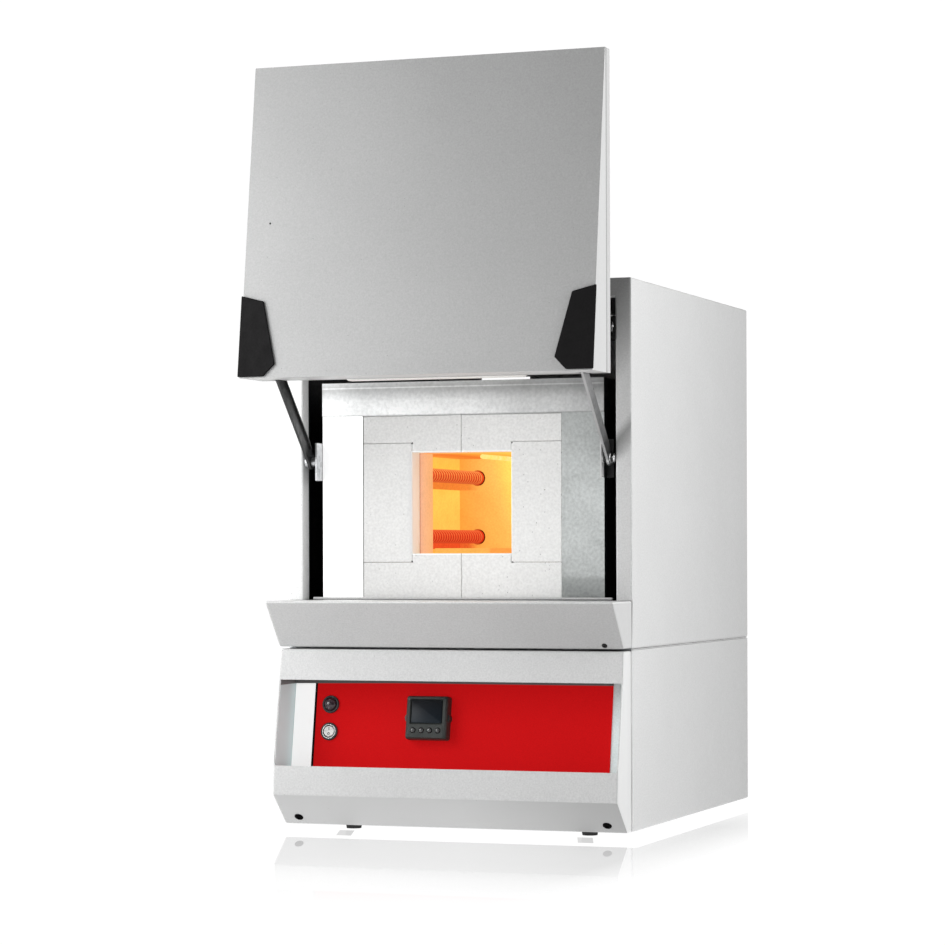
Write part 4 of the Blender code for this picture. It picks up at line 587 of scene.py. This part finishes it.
def band_zinc():
    """The strip over the bricks: painted light and shade, lighter at the left and darker towards the right,
    with painted shade at its foot and over its upper part and a painted highlight on the fold near its top.
    """
    look = galvanised("top_band_zinc", (0.84, 0.85, 0.86), (0.66, 0.68, 0.69), 0.38, 150)
    look.feed(look.shader.inputs["Metallic"], 0.3)
    fine = look.noise(260, 4)
    held = look.ramp(fine, (0.3, (0.70, 0.71, 0.71)), (0.7, (0.86, 0.87, 0.87)))
    # Painted light and shade across the strip.
    along = look.greys(
        look.span(look.x, -0.18, 0.18),
        (0.0, 1.05), (0.10, 1.03), (0.30, 1.18), (0.55, 1.10), (0.72, 0.86), (0.84, 0.84),
        (1.0, 0.66),
    )
    # Painted shade at the foot and over the upper part, with a painted highlight line on the fold near the
    # top.
    edge = look.greys(
        look.span(look.z, 0.4997, 0.5400),
        (0.0, 0.62), (0.05, 1.08), (0.20, 1.06), (0.45, 0.98), (0.76, 0.60), (0.81, 0.60),
        (0.84, 0.98), (0.87, 0.60), (1.0, 0.72),
    )
    return look.colour(look.times(look.times(held, along), edge))


def dress(look, *names):
    for name in names:
        node = NODES[name]
        for slot in node.material_slots:
            slot.material = look.material


def piece(name, bm, look, body, smooth=True, replaces=()):
    """A new object in row coordinates that rides on a body."""
    bmesh.ops.recalc_face_normals(bm, faces=bm.faces)
    mesh = bpy.data.meshes.new(name)
    bm.to_mesh(mesh)
    bm.free()
    made = bpy.data.objects.new(name, mesh)
    SCENE.collection.objects.link(made)
    mesh.materials.append(look.material)
    if smooth:
        mesh.shade_smooth()
        mesh.set_sharp_from_angle(angle=math.radians(38))
    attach(made, body)
    if replaces:
        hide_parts(*replaces)
    return made


def facing_matrix(place, normal, turn=0.0):
    """Moves local z = 0 to place and local +z onto normal."""
    facing = Vector(normal).to_track_quat("Z", "Y").to_matrix().to_4x4()
    return Matrix.Translation(place) @ facing @ Matrix.Rotation(turn, 4, "Z")


def skin(bm, rings, matrix, closed=False):
    """Quads between rings of equal count, and from the last to the first where closed."""
    rows = [[bm.verts.new(matrix @ Vector(point)) for point in ring] for ring in rings]
    for lower, upper in zip(rows, rows[1:] + rows[: int(closed)]):
        for index in range(len(lower)):
            after = (index + 1) % len(lower)
            bm.faces.new((lower[index], lower[after], upper[after], upper[index]))
    return rows


def loft(bm, rings, matrix):
    """Skins rings of equal count, and fills both ends."""
    rows = skin(bm, rings, matrix)
    bm.faces.new(list(reversed(rows[0])))
    bm.faces.new(rows[-1])


def circle(radius, height, steps, sides=0):
    """A ring of points, round or, with sides, on a polygon of that inner radius."""
    points = []
    for index in range(steps):
        turn = math.tau * index / steps
        reach = radius
        if sides:
            sector = math.tau / sides
            reach = radius / math.cos((turn + sector / 2) % sector - sector / 2)
        points.append((reach * math.cos(turn), reach * math.sin(turn), height))
    return points


def lathe(bm, profile, steps, matrix):
    """Turns (radius, height) points; the ends are closed by flat or pointed caps."""
    loft(bm, [circle(max(radius, 0.00002), height, steps) for radius, height in profile], matrix)


def hoop(bm, section, steps, matrix):
    """Turns a closed section of (radius, height) points."""
    skin(bm, [circle(radius, height, steps) for radius, height in section], matrix, closed=True)


def quarter(steps, first=0):
    """Angles of a quarter turn."""
    return [math.pi / 2 * index / steps for index in range(first, steps + 1)]


def socket_screw(bm, place, normal, radius, height, turn=0.0, sink=0.0012):
    """A button head with a hexagon socket, standing on a surface."""
    socket = radius * 0.42
    rings = [circle(radius, -sink, 24), circle(radius, height * 0.25, 24)]
    for angle in (0.35, 0.7, 0.98):
        rings.append(circle(radius * math.cos(angle), height * (0.25 + 0.75 * math.sin(angle)), 24))
    for reach, level in ((socket * 1.12, height), (socket, height * 0.9), (socket, height * 0.25)):
        rings.append(circle(reach, level, 24, HEXAGON))
    loft(bm, rings, facing_matrix(place, normal, turn))


def star(reach, width, height, steps=32):
    """A ring of points round a cross with arms of that reach, width wide between them."""
    points = []
    for index in range(steps):
        angle = math.tau * index / steps
        from_arm = abs((angle + math.pi / 4) % (math.pi / 2) - math.pi / 4)
        radius = reach if from_arm < 0.15 else width
        points.append((radius * math.cos(angle), radius * math.sin(angle), height))
    return points


def cross_screw(bm, place, normal, radius, height, turn=0.0):
    """A pan head with a cross recess."""
    profile = ((1.0, -0.0006), (1.0, height * 0.35), (0.9, height * 0.75), (0.72, height))
    rings = [circle(radius * share, level, 32) for share, level in profile]
    rings += [star(radius * 0.6, radius * 0.24, height), star(radius * 0.5, radius * 0.2, height * 0.3)]
    loft(bm, rings, facing_matrix(place, normal, turn))


def hex_nut(bm, place, normal, flat, height, turn=0.0, crown=0.0):
    """A hexagon nut or bolt head with chamfered corners, domed where crown is given."""
    rings = [circle(flat, level, 36, HEXAGON) for level in (0.0, height * 0.82)] + [circle(flat, height, 36)]
    if crown:
        for angle in (0.0, 0.35, 0.7, 1.05, 1.35):
            rings.append(circle(flat * 0.86 * math.cos(angle), height + crown * math.sin(angle), 36))
    else:
        rings += [circle(flat * 0.55, height, 36), circle(flat * 0.5, height * 0.94, 36)]
    loft(bm, rings, facing_matrix(place, normal, turn))


def washer(bm, place, normal, inner, outer, thickness):
    edge = thickness * 0.25
    section = [(inner, 0), (outer - edge, 0), (outer, edge), (outer, thickness - edge)]
    section += [(outer - edge, thickness), (inner, thickness)]
    hoop(bm, section, 32, facing_matrix(place, normal))


# Finishes of the CAD's own pieces
# Painted light and shade: the sides darken towards the rear, the door and its tray lighten towards the left
# and the bottom.
SIDE_PAINTED_FALLOFF = (("y", FRONT, 0.33, 1.06, 0.755),)
DOOR_PAINTED_LIGHT = (("x", -0.21, 0.21, 1.08, 0.94), ("z", 0.56, 0.90, 1.10, 0.88))
# These coats are copies of one grey powder coat in lighter and darker shades, fitted to how light falls on
# each: the differences are partly painted light and shade.
COAT = powder("case_coat", 0.645, under=(0.90, 0.66), painted_side_light=1.25, extra=recess_tint_and_shade)
SIDE_COAT = powder("side_coat", 0.665, fades=SIDE_PAINTED_FALLOFF, extra=case_painted_shade)
DOOR_COAT = powder("door_coat", 0.405, under=(1.35, 1.35), painted_side_light=1.55, fades=DOOR_PAINTED_LIGHT)
TRAY_COAT = powder("tray_coat", 0.40, painted_side_light=1.42, fades=DOOR_PAINTED_LIGHT, extra=tray_seam_shadow)
# Painted shade: the sill darkens towards the right.
SILL_COAT = powder("sill_coat", 0.53, painted_side_light=1.16, fades=(("x", -0.05, 0.2, 1.03, 0.88),), extra=sill_painted_highlight)
BLACK = plastic("black_plastic", srgb(34, 34, 36), 0.36)
GRIP = plastic("grip_rubber", srgb(16, 15, 16), 0.62, grain=420, depth=0.6, sheen=0.12)
RUBBER = plastic("foot_rubber", srgb(44, 44, 44), 0.75, grain=500, depth=0.4)
WHITE_BRICK = brick("face_brick", 0.89)
BRIGHT = steel("bright_steel", 0.80, 0.18)
BLACK_STEEL = steel("black_oxide", 0.035, 0.42)
ZINC = galvanised("bracket_zinc", (0.62, 0.63, 0.64), (0.36, 0.37, 0.38), 0.34, 160)
DARK_ARM = steel("dark_arm_steel", 0.075, 0.42, along=(1, 0.12, 0.12))
# A lighter copy of the dark arm steel for the right arm: painted light, with painted highlights on its narrow
# sides.
ARM_PAINTED_LIGHT = steel("arm_steel_painted_light", 0.26, 0.34, along=(1, 0.12, 0.12), edge_highlight=2.1)
INSIDE = fibre("insulation_board", 0.70)
LIP_COAT = powder("lip_coat", 0.60, extra=lip_shade)
PLUG = plastic("plug_black", srgb(4, 4, 4), 0.7, sheen=0.04)
BEZEL = plastic("controller_case", srgb(46, 50, 48), 0.40)
SCREEN = screen_glass()
KEY = plastic("key_rubber", srgb(70, 72, 72), 0.22, sheen=0.7)
WELL = plastic("well_black", srgb(10, 11, 11), 0.7, sheen=0.1)

dress(SIDE_COAT, "upper_case", "lower_case")
# The plate's coat is a lighter copy of the case's: painted light on the plate in the recess.
dress(powder("plate_painted_light_coat", 0.85, extra=plate_tone), "control_panel")
dress(COAT, "fascia", "rear_panel_upper", "rear_panel_lower", "rear_guard")
dress(DOOR_COAT, "door_cover")
dress(TRAY_COAT, "door_tray")
dress(SILL_COAT, "sill")
dress(fibre("door_fibre", 0.86), "door_plug")
dress(deck_zinc(), "deck_plate")
dress(box_zinc(), "chamber_box")
dress(band_zinc(), "chamber_top_band")
dress(ZINC, "arm_bracket_left", "hinge_plate_left", "hinge_plate_right")
dress(slot_zinc_painted_light_and_shade(), "arm_bracket_right")
dress(BLACK_STEEL, "lift_rail")
dress(DARK_ARM, "lower_arm_left", "upper_arm_frame")
dress(ARM_PAINTED_LIGHT, "lower_arm_right")
dress(WHITE_BRICK, *[f"brick_{part}_{side}" for part in ("top", "side", "bottom") for side, _ in SIDES])
dress(INSIDE, "backup_insulation", "base_insulation")
dress(hot("hot_lining", lining_colour), "chamber_lining")
dress(hot("hot_rear_wall", rear_colour), "chamber_rear_wall")
dress(hot("hot_collar", collar_colour, THROAT, grain=0.05), "throat_collar")
dress(hot("hot_tile", tile_colour), "hearth_tile")
dress(hot("hot_sheath", sheath_colour), "thermocouple")
dress(printed_panel(), "panel_label")
dress(BEZEL, "controller")
dress(SCREEN, "controller_window")
dress(KEY, *[f"controller_button_{n}" for n in (1, 2, 3, 4)])
dress(GRIP, "grip_left", "grip_right")
dress(RUBBER, *[f"foot_{end}_{side}" for end in ("front", "rear") for side, _ in SIDES])
dress(BLACK, "door_switch", "cable_gland")
dress(plastic("rocker_plastic", srgb(228, 228, 226), 0.28, depth=0.08), "power_rocker")
dress(steel("heat_sink_aluminium", 0.55, 0.42, along=(1, 0.1, 1)), "power_unit")
dress(steel("strap_aluminium", 0.80, 0.30), "terminal_strap_left", "terminal_strap_right")


# Heating rods with their full spiral
ROD_RADIUS, ROD_PITCH, ROD_DEPTH = 0.0085, 0.0085, 0.0018
SPIRAL_START, SPIRAL_END, ROD_SIDES, ROD_RINGS = 0.097, 0.287, 40, 10


def rod_point(turn, y):
    """Radius and groove depth share of a rod's surface at a turn of 0 to 1."""
    share = 0.0
    if SPIRAL_START < y < SPIRAL_END:
        phase = (y / ROD_PITCH + turn) % 1
        cut = max(0.0, 1 - abs(2 * phase - 1) / 0.62)
        share = cut * cut * (3 - 2 * cut)
        share *= min(1.0, (y - SPIRAL_START) / 0.003, (SPIRAL_END - y) / 0.003)
    return ROD_RADIUS - ROD_DEPTH * share, share


def spiral_rod(name, look):
    """A rod with a rounded tip and its helical groove, whose depth goes into an attribute."""
    low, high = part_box(name)
    x, z = (low.x + high.x) / 2, (low.z + high.z) / 2
    start, end = low.y - FRONT, high.y - FRONT
    count = round((SPIRAL_END - SPIRAL_START) / ROD_PITCH * ROD_RINGS)
    marks = [SPIRAL_START + (SPIRAL_END - SPIRAL_START) * i / count for i in range(count + 1)]
    tip = [(start + 0.0012 * (1 - math.cos(a)), math.sin(a)) for a in (0.0, 0.5, 1.0, math.pi / 2)]
    stations = [(y, 0.86 + 0.14 * swell) for y, swell in tip]
    stations += [(y, 1.0) for y in marks] + [(SPIRAL_END + 0.004, 1.0), (end - 0.001, 1.0), (end, 0.93)]
    bm = bmesh.new()
    layer = bm.verts.layers.float.new("groove")
    rows = []
    for y, scale in stations:
        row = []
        for index in range(ROD_SIDES):
            turn = index / ROD_SIDES
            radius, share = rod_point(turn, y)
            angle, reach = turn * math.tau, radius * scale
            corner = bm.verts.new(at(x + reach * math.cos(angle), y, z + reach * math.sin(angle)))
            corner[layer] = share
            row.append(corner)
        rows.append(row)
    for lower, upper in zip(rows, rows[1:]):
        for index in range(ROD_SIDES):
            after = (index + 1) % ROD_SIDES
            bm.faces.new((lower[index], lower[after], upper[after], upper[index]))
    bm.faces.new(rows[0])
    bm.faces.new(list(reversed(rows[-1])))
    piece("spiral_rod_" + name.removeprefix("element_"), bm, look, CABINET, replaces=(name,))


CARBIDE = glowing_rod()
for level in ("upper", "lower"):
    for side, _ in SIDES:
        spiral_rod(f"element_{level}_{side}", CARBIDE)


# Fasteners
def sill_and_chin_screws():
    """A socket screw low on the sill's slope and two black plugs on the chin's."""
    bm = bmesh.new()
    top, foot, level = 0.2782, 0.2243, 0.2269
    share = (top - level) / (top - foot)
    seat = at(0.1942, -0.0744 + share * 0.0432, level)
    socket_screw(bm, seat, Vector((0, -0.0539, -0.0432)).normalized(), 0.0034, 0.0009, 0.3)
    piece("sill_screw", bm, BLACK_STEEL, CABINET)
    bm = bmesh.new()
    top, foot, level = 0.0463, 0.009, 0.0182
    share = (level - foot) / (top - foot)
    for _, sign in SIDES:
        seat = at(sign * 0.1940, -0.0146 - share * 0.0391, level - 0.0002)
        slope = Vector((0, -0.0373, -0.0391)).normalized()
        socket_screw(bm, seat, slope, 0.0054, 0.0012, 0.2, sink=0.003)
    piece("chin_plugs", bm, PLUG, CABINET)


def sill_lip():
    """The upstand along the rear of the sill's ledge, light on top and in shade at its foot."""
    bm = bmesh.new()
    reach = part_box("brick_bottom_right")[1].x + 0.063
    rings = [rounded(0.0017, 0.0024, 0.0005, end) for end in (-reach, reach)]
    loft(bm, rings, Matrix.Translation(at(0, 0.0128, 0.2800)) @ Matrix.Rotation(math.pi / 2, 4, "Y"))
    piece("sill_lip", bm, LIP_COAT, CABINET, smooth=False)


def rear_screws():
    """Cross screws of both rear panels and of the guard between them."""
    bm = bmesh.new()
    for _, sign in SIDES:
        for levels, spread in (((0.235, 0.36, 0.50, 0.640), 9), ((0.026, 0.205), 30)):
            for z in levels:
                cross_screw(bm, at(sign * 0.2075, REAR, z), (0, 1, 0), 0.0034, 0.0016, z * spread)
        for z in (0.345, 0.444):
            cross_screw(bm, at(sign * 0.130, GUARD_MIDDLE, z), (sign, 0, 0), 0.0022, 0.0010, z * 7)
    piece("rear_screws", bm, BRIGHT, CABINET)


def pivot_fasteners():
    """A washer and a domed nut on the pivot of each lower arm."""
    thickness = 0.0008
    for side, sign in SIDES:
        bm = bmesh.new()
        pivot = at(sign * 0.1908, 0.005, 0.445)
        washer(bm, pivot, (sign, 0, 0), 0.0042, 0.0072, thickness)
        hex_nut(bm, pivot + Vector((sign * thickness, 0, 0)), (sign, 0, 0), 0.0056, 0.0034, 0.4, 0.0022)
        piece(f"pivot_nut_{side}", bm, BRIGHT, CABINET)


def on_surface(name, start, along):
    """Where a line from start meets a piece, and the surface's direction there."""
    return NODES[name].ray_cast(Vector(start), Vector(along))[1:3]


def small_dots():
    """A bright bolt in the slot beside the open door, and a stud's end on the door's left."""
    bm = bmesh.new()
    hex_nut(bm, at(0.1936, 0.005, 0.597), (1, 0, 0), 0.0062, 0.0026, 0.2)
    piece("slot_bolts", bm, BRIGHT, CABINET)
    place, normal = on_surface("door_cover", (-0.1869, FRONT - 0.4, 0.721), (0, 1, 0))
    bm = bmesh.new()
    lathe(bm, [(0.0012, -0.0006), (0.0012, 0.00012), (0.0009, 0.00022)], 24, facing_matrix(place, normal))
    piece("stud_end", bm, BLACK_STEEL, DOOR)


sill_and_chin_screws()
rear_screws()
pivot_fasteners()
small_dots()


# Controls on the slanted panel
PANEL_LEAN = math.radians(90 - 9.46)
PANEL = Matrix.Translation(at(0, 0.008, 0.132)) @ Matrix.Rotation(PANEL_LEAN, 4, "X")
LAMP = PANEL @ Matrix.Translation((-0.166, 0.020, 0))
SWITCH = PANEL @ Matrix.Translation((-0.166, -0.013, 0))
CONTROLLER = PANEL @ Matrix.Translation((-0.0372, 0.0046, 0))
SURFACE = 0.0011  # the film's front, above the plate
RIM = SURFACE + 0.0024
ROCKER_PIVOT = SURFACE + 0.0012


def pilot_lamp():
    """A black screw-in bezel with a smoky dome."""
    bm = bmesh.new()
    profile = [(0.0096, -0.024), (0.0096, SURFACE), (0.0108, SURFACE), (0.0108, RIM - 0.0007), (0.0101, RIM)]
    profile += [(0.0086, RIM), (0.0080, RIM - 0.0005), (0.0078, RIM - 0.0009), (0.0, RIM - 0.0009)]
    lathe(bm, profile, 64, LAMP)
    piece("lamp_bezel", bm, BLACK, CABINET, replaces=("pilot_lamp",))
    bm = bmesh.new()
    dome = [(0.0076, RIM - 0.0009)]
    dome += [(0.0075 * math.cos(a), RIM - 0.0006 + 0.0046 * math.sin(a)) for a in quarter(12)]
    lathe(bm, dome, 64, LAMP)
    lens = Look("lamp_lens", Specular_IOR_Level=0.6, Coat_Weight=0.4)
    ribs = lens.noise(500, 2)
    lens.colour(lens.ramp(ribs, (0.3, srgb(48, 34, 42)), (0.7, srgb(66, 52, 60))))
    lens.rough(lens.span(ribs, 0.3, 0.7, 0.12, 0.24))
    piece("lamp_lens", bm, lens, CABINET)


def rocker_marks():
    """The generic on and off marks, printed on the two slopes of the rocker."""
    rise, run, reach = 0.0010, 0.0068, 0.0031
    tilt = math.atan2(rise, run)
    height = 0.0012 + rise * reach / run
    pivot = SWITCH @ Matrix.Translation((0, 0, ROCKER_PIVOT)) @ Matrix.Rotation(math.radians(-9), 4, "X")
    up = pivot @ Matrix.Translation((0, reach, height)) @ Matrix.Rotation(tilt, 4, "X")
    down = pivot @ Matrix.Translation((0, -reach, height)) @ Matrix.Rotation(-tilt, 4, "X")
    bar = [(-0.0004, -0.0016), (0.0004, -0.0016), (0.0004, 0.0016), (-0.0004, 0.0016)]
    low, high = -0.0001, 0.00012
    bm = bmesh.new()
    loft(bm, [[(x, y, level) for x, y in bar] for level in (low, high)], up)
    hoop(bm, ((0.0009, low), (0.0016, low), (0.0016, high), (0.0009, high)), 32, down)
    piece("rocker_marks", bm, plastic("mark_ink", srgb(22, 22, 24), 0.5), "power_rocker", smooth=False)


def switch_collar():
    """The black collar sunk round the rocker, and the bright ring in its rim."""
    floor = ROCKER_PIVOT - 0.0075
    bm = bmesh.new()
    profile = [(0.0, floor - 0.001), (0.0096, floor - 0.001), (0.0096, SURFACE), (0.0108, SURFACE)]
    profile += [(0.0108, RIM - 0.0007), (0.0101, RIM), (0.0079, RIM), (0.0073, RIM - 0.0006)]
    profile += [(0.0073, floor), (0.0, floor)]
    lathe(bm, profile, 64, SWITCH)
    piece("switch_collar", bm, BLACK, CABINET, replaces=("switch_bezel",))
    bm = bmesh.new()
    section = ((0.0076, 0.0), (0.0089, 0.0), (0.0087, 0.00045), (0.0078, 0.00045))
    hoop(bm, section, 64, SWITCH @ Matrix.Translation((0, 0, RIM - 0.0002)))
    piece("switch_ring", bm, steel("ring_chrome", 0.62, 0.25), CABINET)


def rounded(half_width, half_height, radius, height, up=0.0, steps=6):
    """A ring of points round a rectangle with round corners."""
    points = []
    for corner, (x, y) in enumerate(((1, 1), (-1, 1), (-1, -1), (1, -1))):
        for index in range(steps + 1):
            turn = math.radians(90) * (corner + index / steps)
            middle = (x * (half_width - radius), y * (half_height - radius) + up)
            points.append((middle[0] + radius * math.cos(turn), middle[1] + radius * math.sin(turn), height))
    return points


def controller_face():
    """A tapered bezel round a sunk screen, clips at its sides, and four domed keys."""
    front = SURFACE + 0.014
    low, high = front - 0.0032, front - 0.0014
    bm = bmesh.new()
    bezel = (
        (0.0215, 0.0215, 0.001, -0.060),
        (0.0215, 0.0215, 0.001, SURFACE),
        (0.0266, 0.0260, 0.0026, SURFACE),
        (0.0268, 0.0263, 0.0028, SURFACE + 0.0012),
        (0.0265, 0.0260, 0.0028, front - 0.0042),
        (0.0256, 0.0253, 0.0026, front - 0.0014),
        (0.0240, 0.0240, 0.0022, front),
        (0.0210, 0.0152, 0.0018, front, 0.0068),
        (0.0196, 0.0138, 0.0010, front - 0.0024, 0.0072),
    )
    loft(bm, [rounded(*ring) for ring in bezel], CONTROLLER)
    piece("controller_bezel", bm, BEZEL, CABINET, replaces=("controller",))
    bm = bmesh.new()
    profile = [(0.0066, SURFACE + 0.0016), (0.0066, front - 0.0052)]
    profile += [(0.0062, front - 0.0044), (0.0050, front - 0.0042)]
    for _, sign in SIDES:
        lathe(bm, profile, 48, CONTROLLER @ Matrix.Translation((sign * 0.0222, -0.0004, 0)))
    piece("controller_clips", bm, BEZEL, CABINET)
    bm = bmesh.new()
    pane = (
        (0.0194, 0.0136, 0.0009, low, 0.0072),
        (0.0194, 0.0136, 0.0009, high - 0.0003, 0.0072),
        (0.0190, 0.0132, 0.0007, high, 0.0072),
    )
    loft(bm, [rounded(*ring) for ring in pane], CONTROLLER)
    piece("screen_pane", bm, SCREEN, CABINET, replaces=("controller_window",))
    wells = bmesh.new()
    for number in (1, 2, 3, 4):
        seat = CONTROLLER @ Matrix.Translation(((number - 2.5) * 0.0105, -0.0155, front))
        outward = seat.to_3x3() @ Vector((0, 0, 1))
        washer(wells, seat @ Vector((0, 0, -0.00005)), outward, 0.0026, 0.0035, 0.00015)
        bm = bmesh.new()
        dome = [(0.0027, -0.0030), (0.0027, 0.0004)]
        dome += [(0.0027 * math.cos(a), 0.0004 + 0.0017 * math.sin(a)) for a in quarter(10, 1)]
        lathe(bm, dome, 40, seat)
        name = f"controller_button_{number}"
        piece(f"domed_key_{number}", bm, KEY, name, replaces=(name,))
    piece("key_wells", wells, WELL, CABINET)


pilot_lamp()
switch_collar()
rocker_marks()
controller_face()
sill_lip()


# Studio
def studio_floor():
    """A white sweep with a glossy patch before the furnace, whose mirror image fades to the front."""
    mesh = bpy.data.meshes.new("floor")
    bm = bmesh.new()
    bend, radius = 4.0, 3.0
    depth = [(-6.0, 0.0), (bend, 0.0)]
    depth += [(bend + radius * math.sin(a), radius * (1 - math.cos(a))) for a in quarter(16, 1)]
    depth += [(bend + radius, 8.0)]
    rows = [[bm.verts.new((x, y, z)) for x in (-14.0, 14.0)] for y, z in depth]
    for near, far in zip(rows, rows[1:]):
        bm.faces.new((near[0], near[1], far[1], far[0]))
    bm.to_mesh(mesh)
    bm.free()
    mesh.shade_smooth()
    floor = bpy.data.objects.new("floor", mesh)
    SCENE.collection.objects.link(floor)
    look = Look("floor_sweep", roughness=0.9, Specular_IOR_Level=0.0)
    look.colour((0.03,) * 3)
    look.glow((1.0,) * 3, look.span(look.noise(3, 2), 0.3, 0.7, 1.0, 1.02))
    gloss = look.node("ShaderNodeBsdfGlossy", {"Roughness": 0.012, "Color": (1, 1, 1, 1)})
    share = look.greys(
        look.span(look.y, -0.95, -0.27),
        (0.0, 0.0), (0.18, 0.05), (0.29, 0.11), (0.43, 0.22), (0.54, 0.38), (0.68, 0.45),
        (0.82, 0.48), (1.0, 0.54),
    )
    share = look.sum("MULTIPLY", share, look.span(look.x, 0.270, 0.360, 0.92, 0.0))
    share = look.sum("MULTIPLY", share, look.span(look.x, -0.36, -0.28))
    low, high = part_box("lower_case")
    leftward = look.sum("LESS_THAN", look.x, high.x + 0.031)
    under = look.sum("MULTIPLY", leftward, look.sum("GREATER_THAN", look.y, low.y - 0.088))
    share = look.sum("MULTIPLY", share, look.sum("SUBTRACT", 1.0, under))
    share = look.sum("MULTIPLY", share, look.span(look.y, 0.0, 0.30, 1.0, 0.0))
    for side, _ in SIDES:
        near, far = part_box(f"foot_front_{side}")
        seat = look.sum("ADD", look.x, look.span(look.y, near.y - 0.09, near.y, -0.027, 0.003))
        shade = between(look, look.y, near.y - 0.085, near.y - 0.022)
        shade = look.sum("MULTIPLY", shade, between(look, seat, near.x + 0.001, far.x - 0.001))
        share = look.sum("MAXIMUM", share, look.sum("MULTIPLY", shade, 0.36))
    blend = look.node("ShaderNodeMixShader", {0: share, 1: look.shader.outputs[0], 2: gloss.outputs[0]})
    look.tree.links.new(blend.outputs[0], look.tree.nodes["Material Output"].inputs[0])
    mesh.materials.append(look.material)


def softbox(name, place, target, size, power):
    data = bpy.data.lights.new(name, "AREA")
    data.shape = "RECTANGLE"
    data.size, data.size_y = size
    data.energy = power
    made = bpy.data.objects.new(name, data)
    made.location = place
    made.rotation_euler = (Vector(target) - Vector(place)).to_track_quat("-Z", "Y").to_euler()
    SCENE.collection.objects.link(made)


def light():
    """White surroundings that give little light, and five soft boxes."""
    world = bpy.data.worlds.new("studio")
    SCENE.world = world
    world.use_nodes = True
    shade = world.node_tree.nodes["Background"]
    shade.inputs["Color"].default_value = (1, 1, 1, 1)
    seen = world.node_tree.nodes.new("ShaderNodeLightPath").outputs["Is Camera Ray"]
    strength = world.node_tree.nodes.new("ShaderNodeMapRange")
    strength.inputs["To Min"].default_value = 0.05
    strength.inputs["To Max"].default_value = 1.0
    world.node_tree.links.new(seen, strength.inputs["Value"])
    world.node_tree.links.new(strength.outputs["Result"], shade.inputs["Strength"])
    softbox("left_box", (-1.15, -1.2, 1.0), (0, -0.1, 0.45), (0.9, 1.2), 21)
    softbox("near_box", (-0.85, -0.55, 0.55), (0, -0.2, 0.5), (0.5, 0.9), 3.3)
    softbox("front_box", (-0.3, -3.0, 0.75), (0, 0, 0.40), (1.6, 1.2), 1.5)
    softbox("right_box", (1.7, -0.4, 1.1), (0.2, 0, 0.45), (1.0, 1.4), 16.5)
    softbox("top_box", (0.0, -0.6, 2.8), (0, 0, 0.3), (2.2, 2.0), 2)


def camera():
    """The photograph's viewpoint, from a fit to about 60 of its points."""
    yaw, pitch, roll = (math.radians(v) for v in (19.9372, -0.0428, -0.1779))
    ahead = Vector((-math.sin(yaw) * math.cos(pitch), math.cos(yaw) * math.cos(pitch), math.sin(pitch)))
    right = Vector((math.cos(yaw), math.sin(yaw), 0))
    up = right.cross(ahead)
    rolled = right * math.cos(roll) + up * math.sin(roll)
    raised = up * math.cos(roll) - right * math.sin(roll)
    data = bpy.data.cameras.new("photo_view")
    data.sensor_width = 36
    data.lens = 115.722
    data.shift_x, data.shift_y = -0.0020, 0.08624
    data.clip_start, data.clip_end = 0.1, 60
    made = bpy.data.objects.new("photo_view", data)
    turned = Matrix((rolled, raised, -ahead)).transposed().to_4x4()
    made.matrix_world = Matrix.Translation((1.24989, FRONT - 3.38363, 0.33593)) @ turned
    SCENE.collection.objects.link(made)
    SCENE.camera = made


studio_floor()
light()
camera()
SCENE.view_settings.view_transform = "Standard"
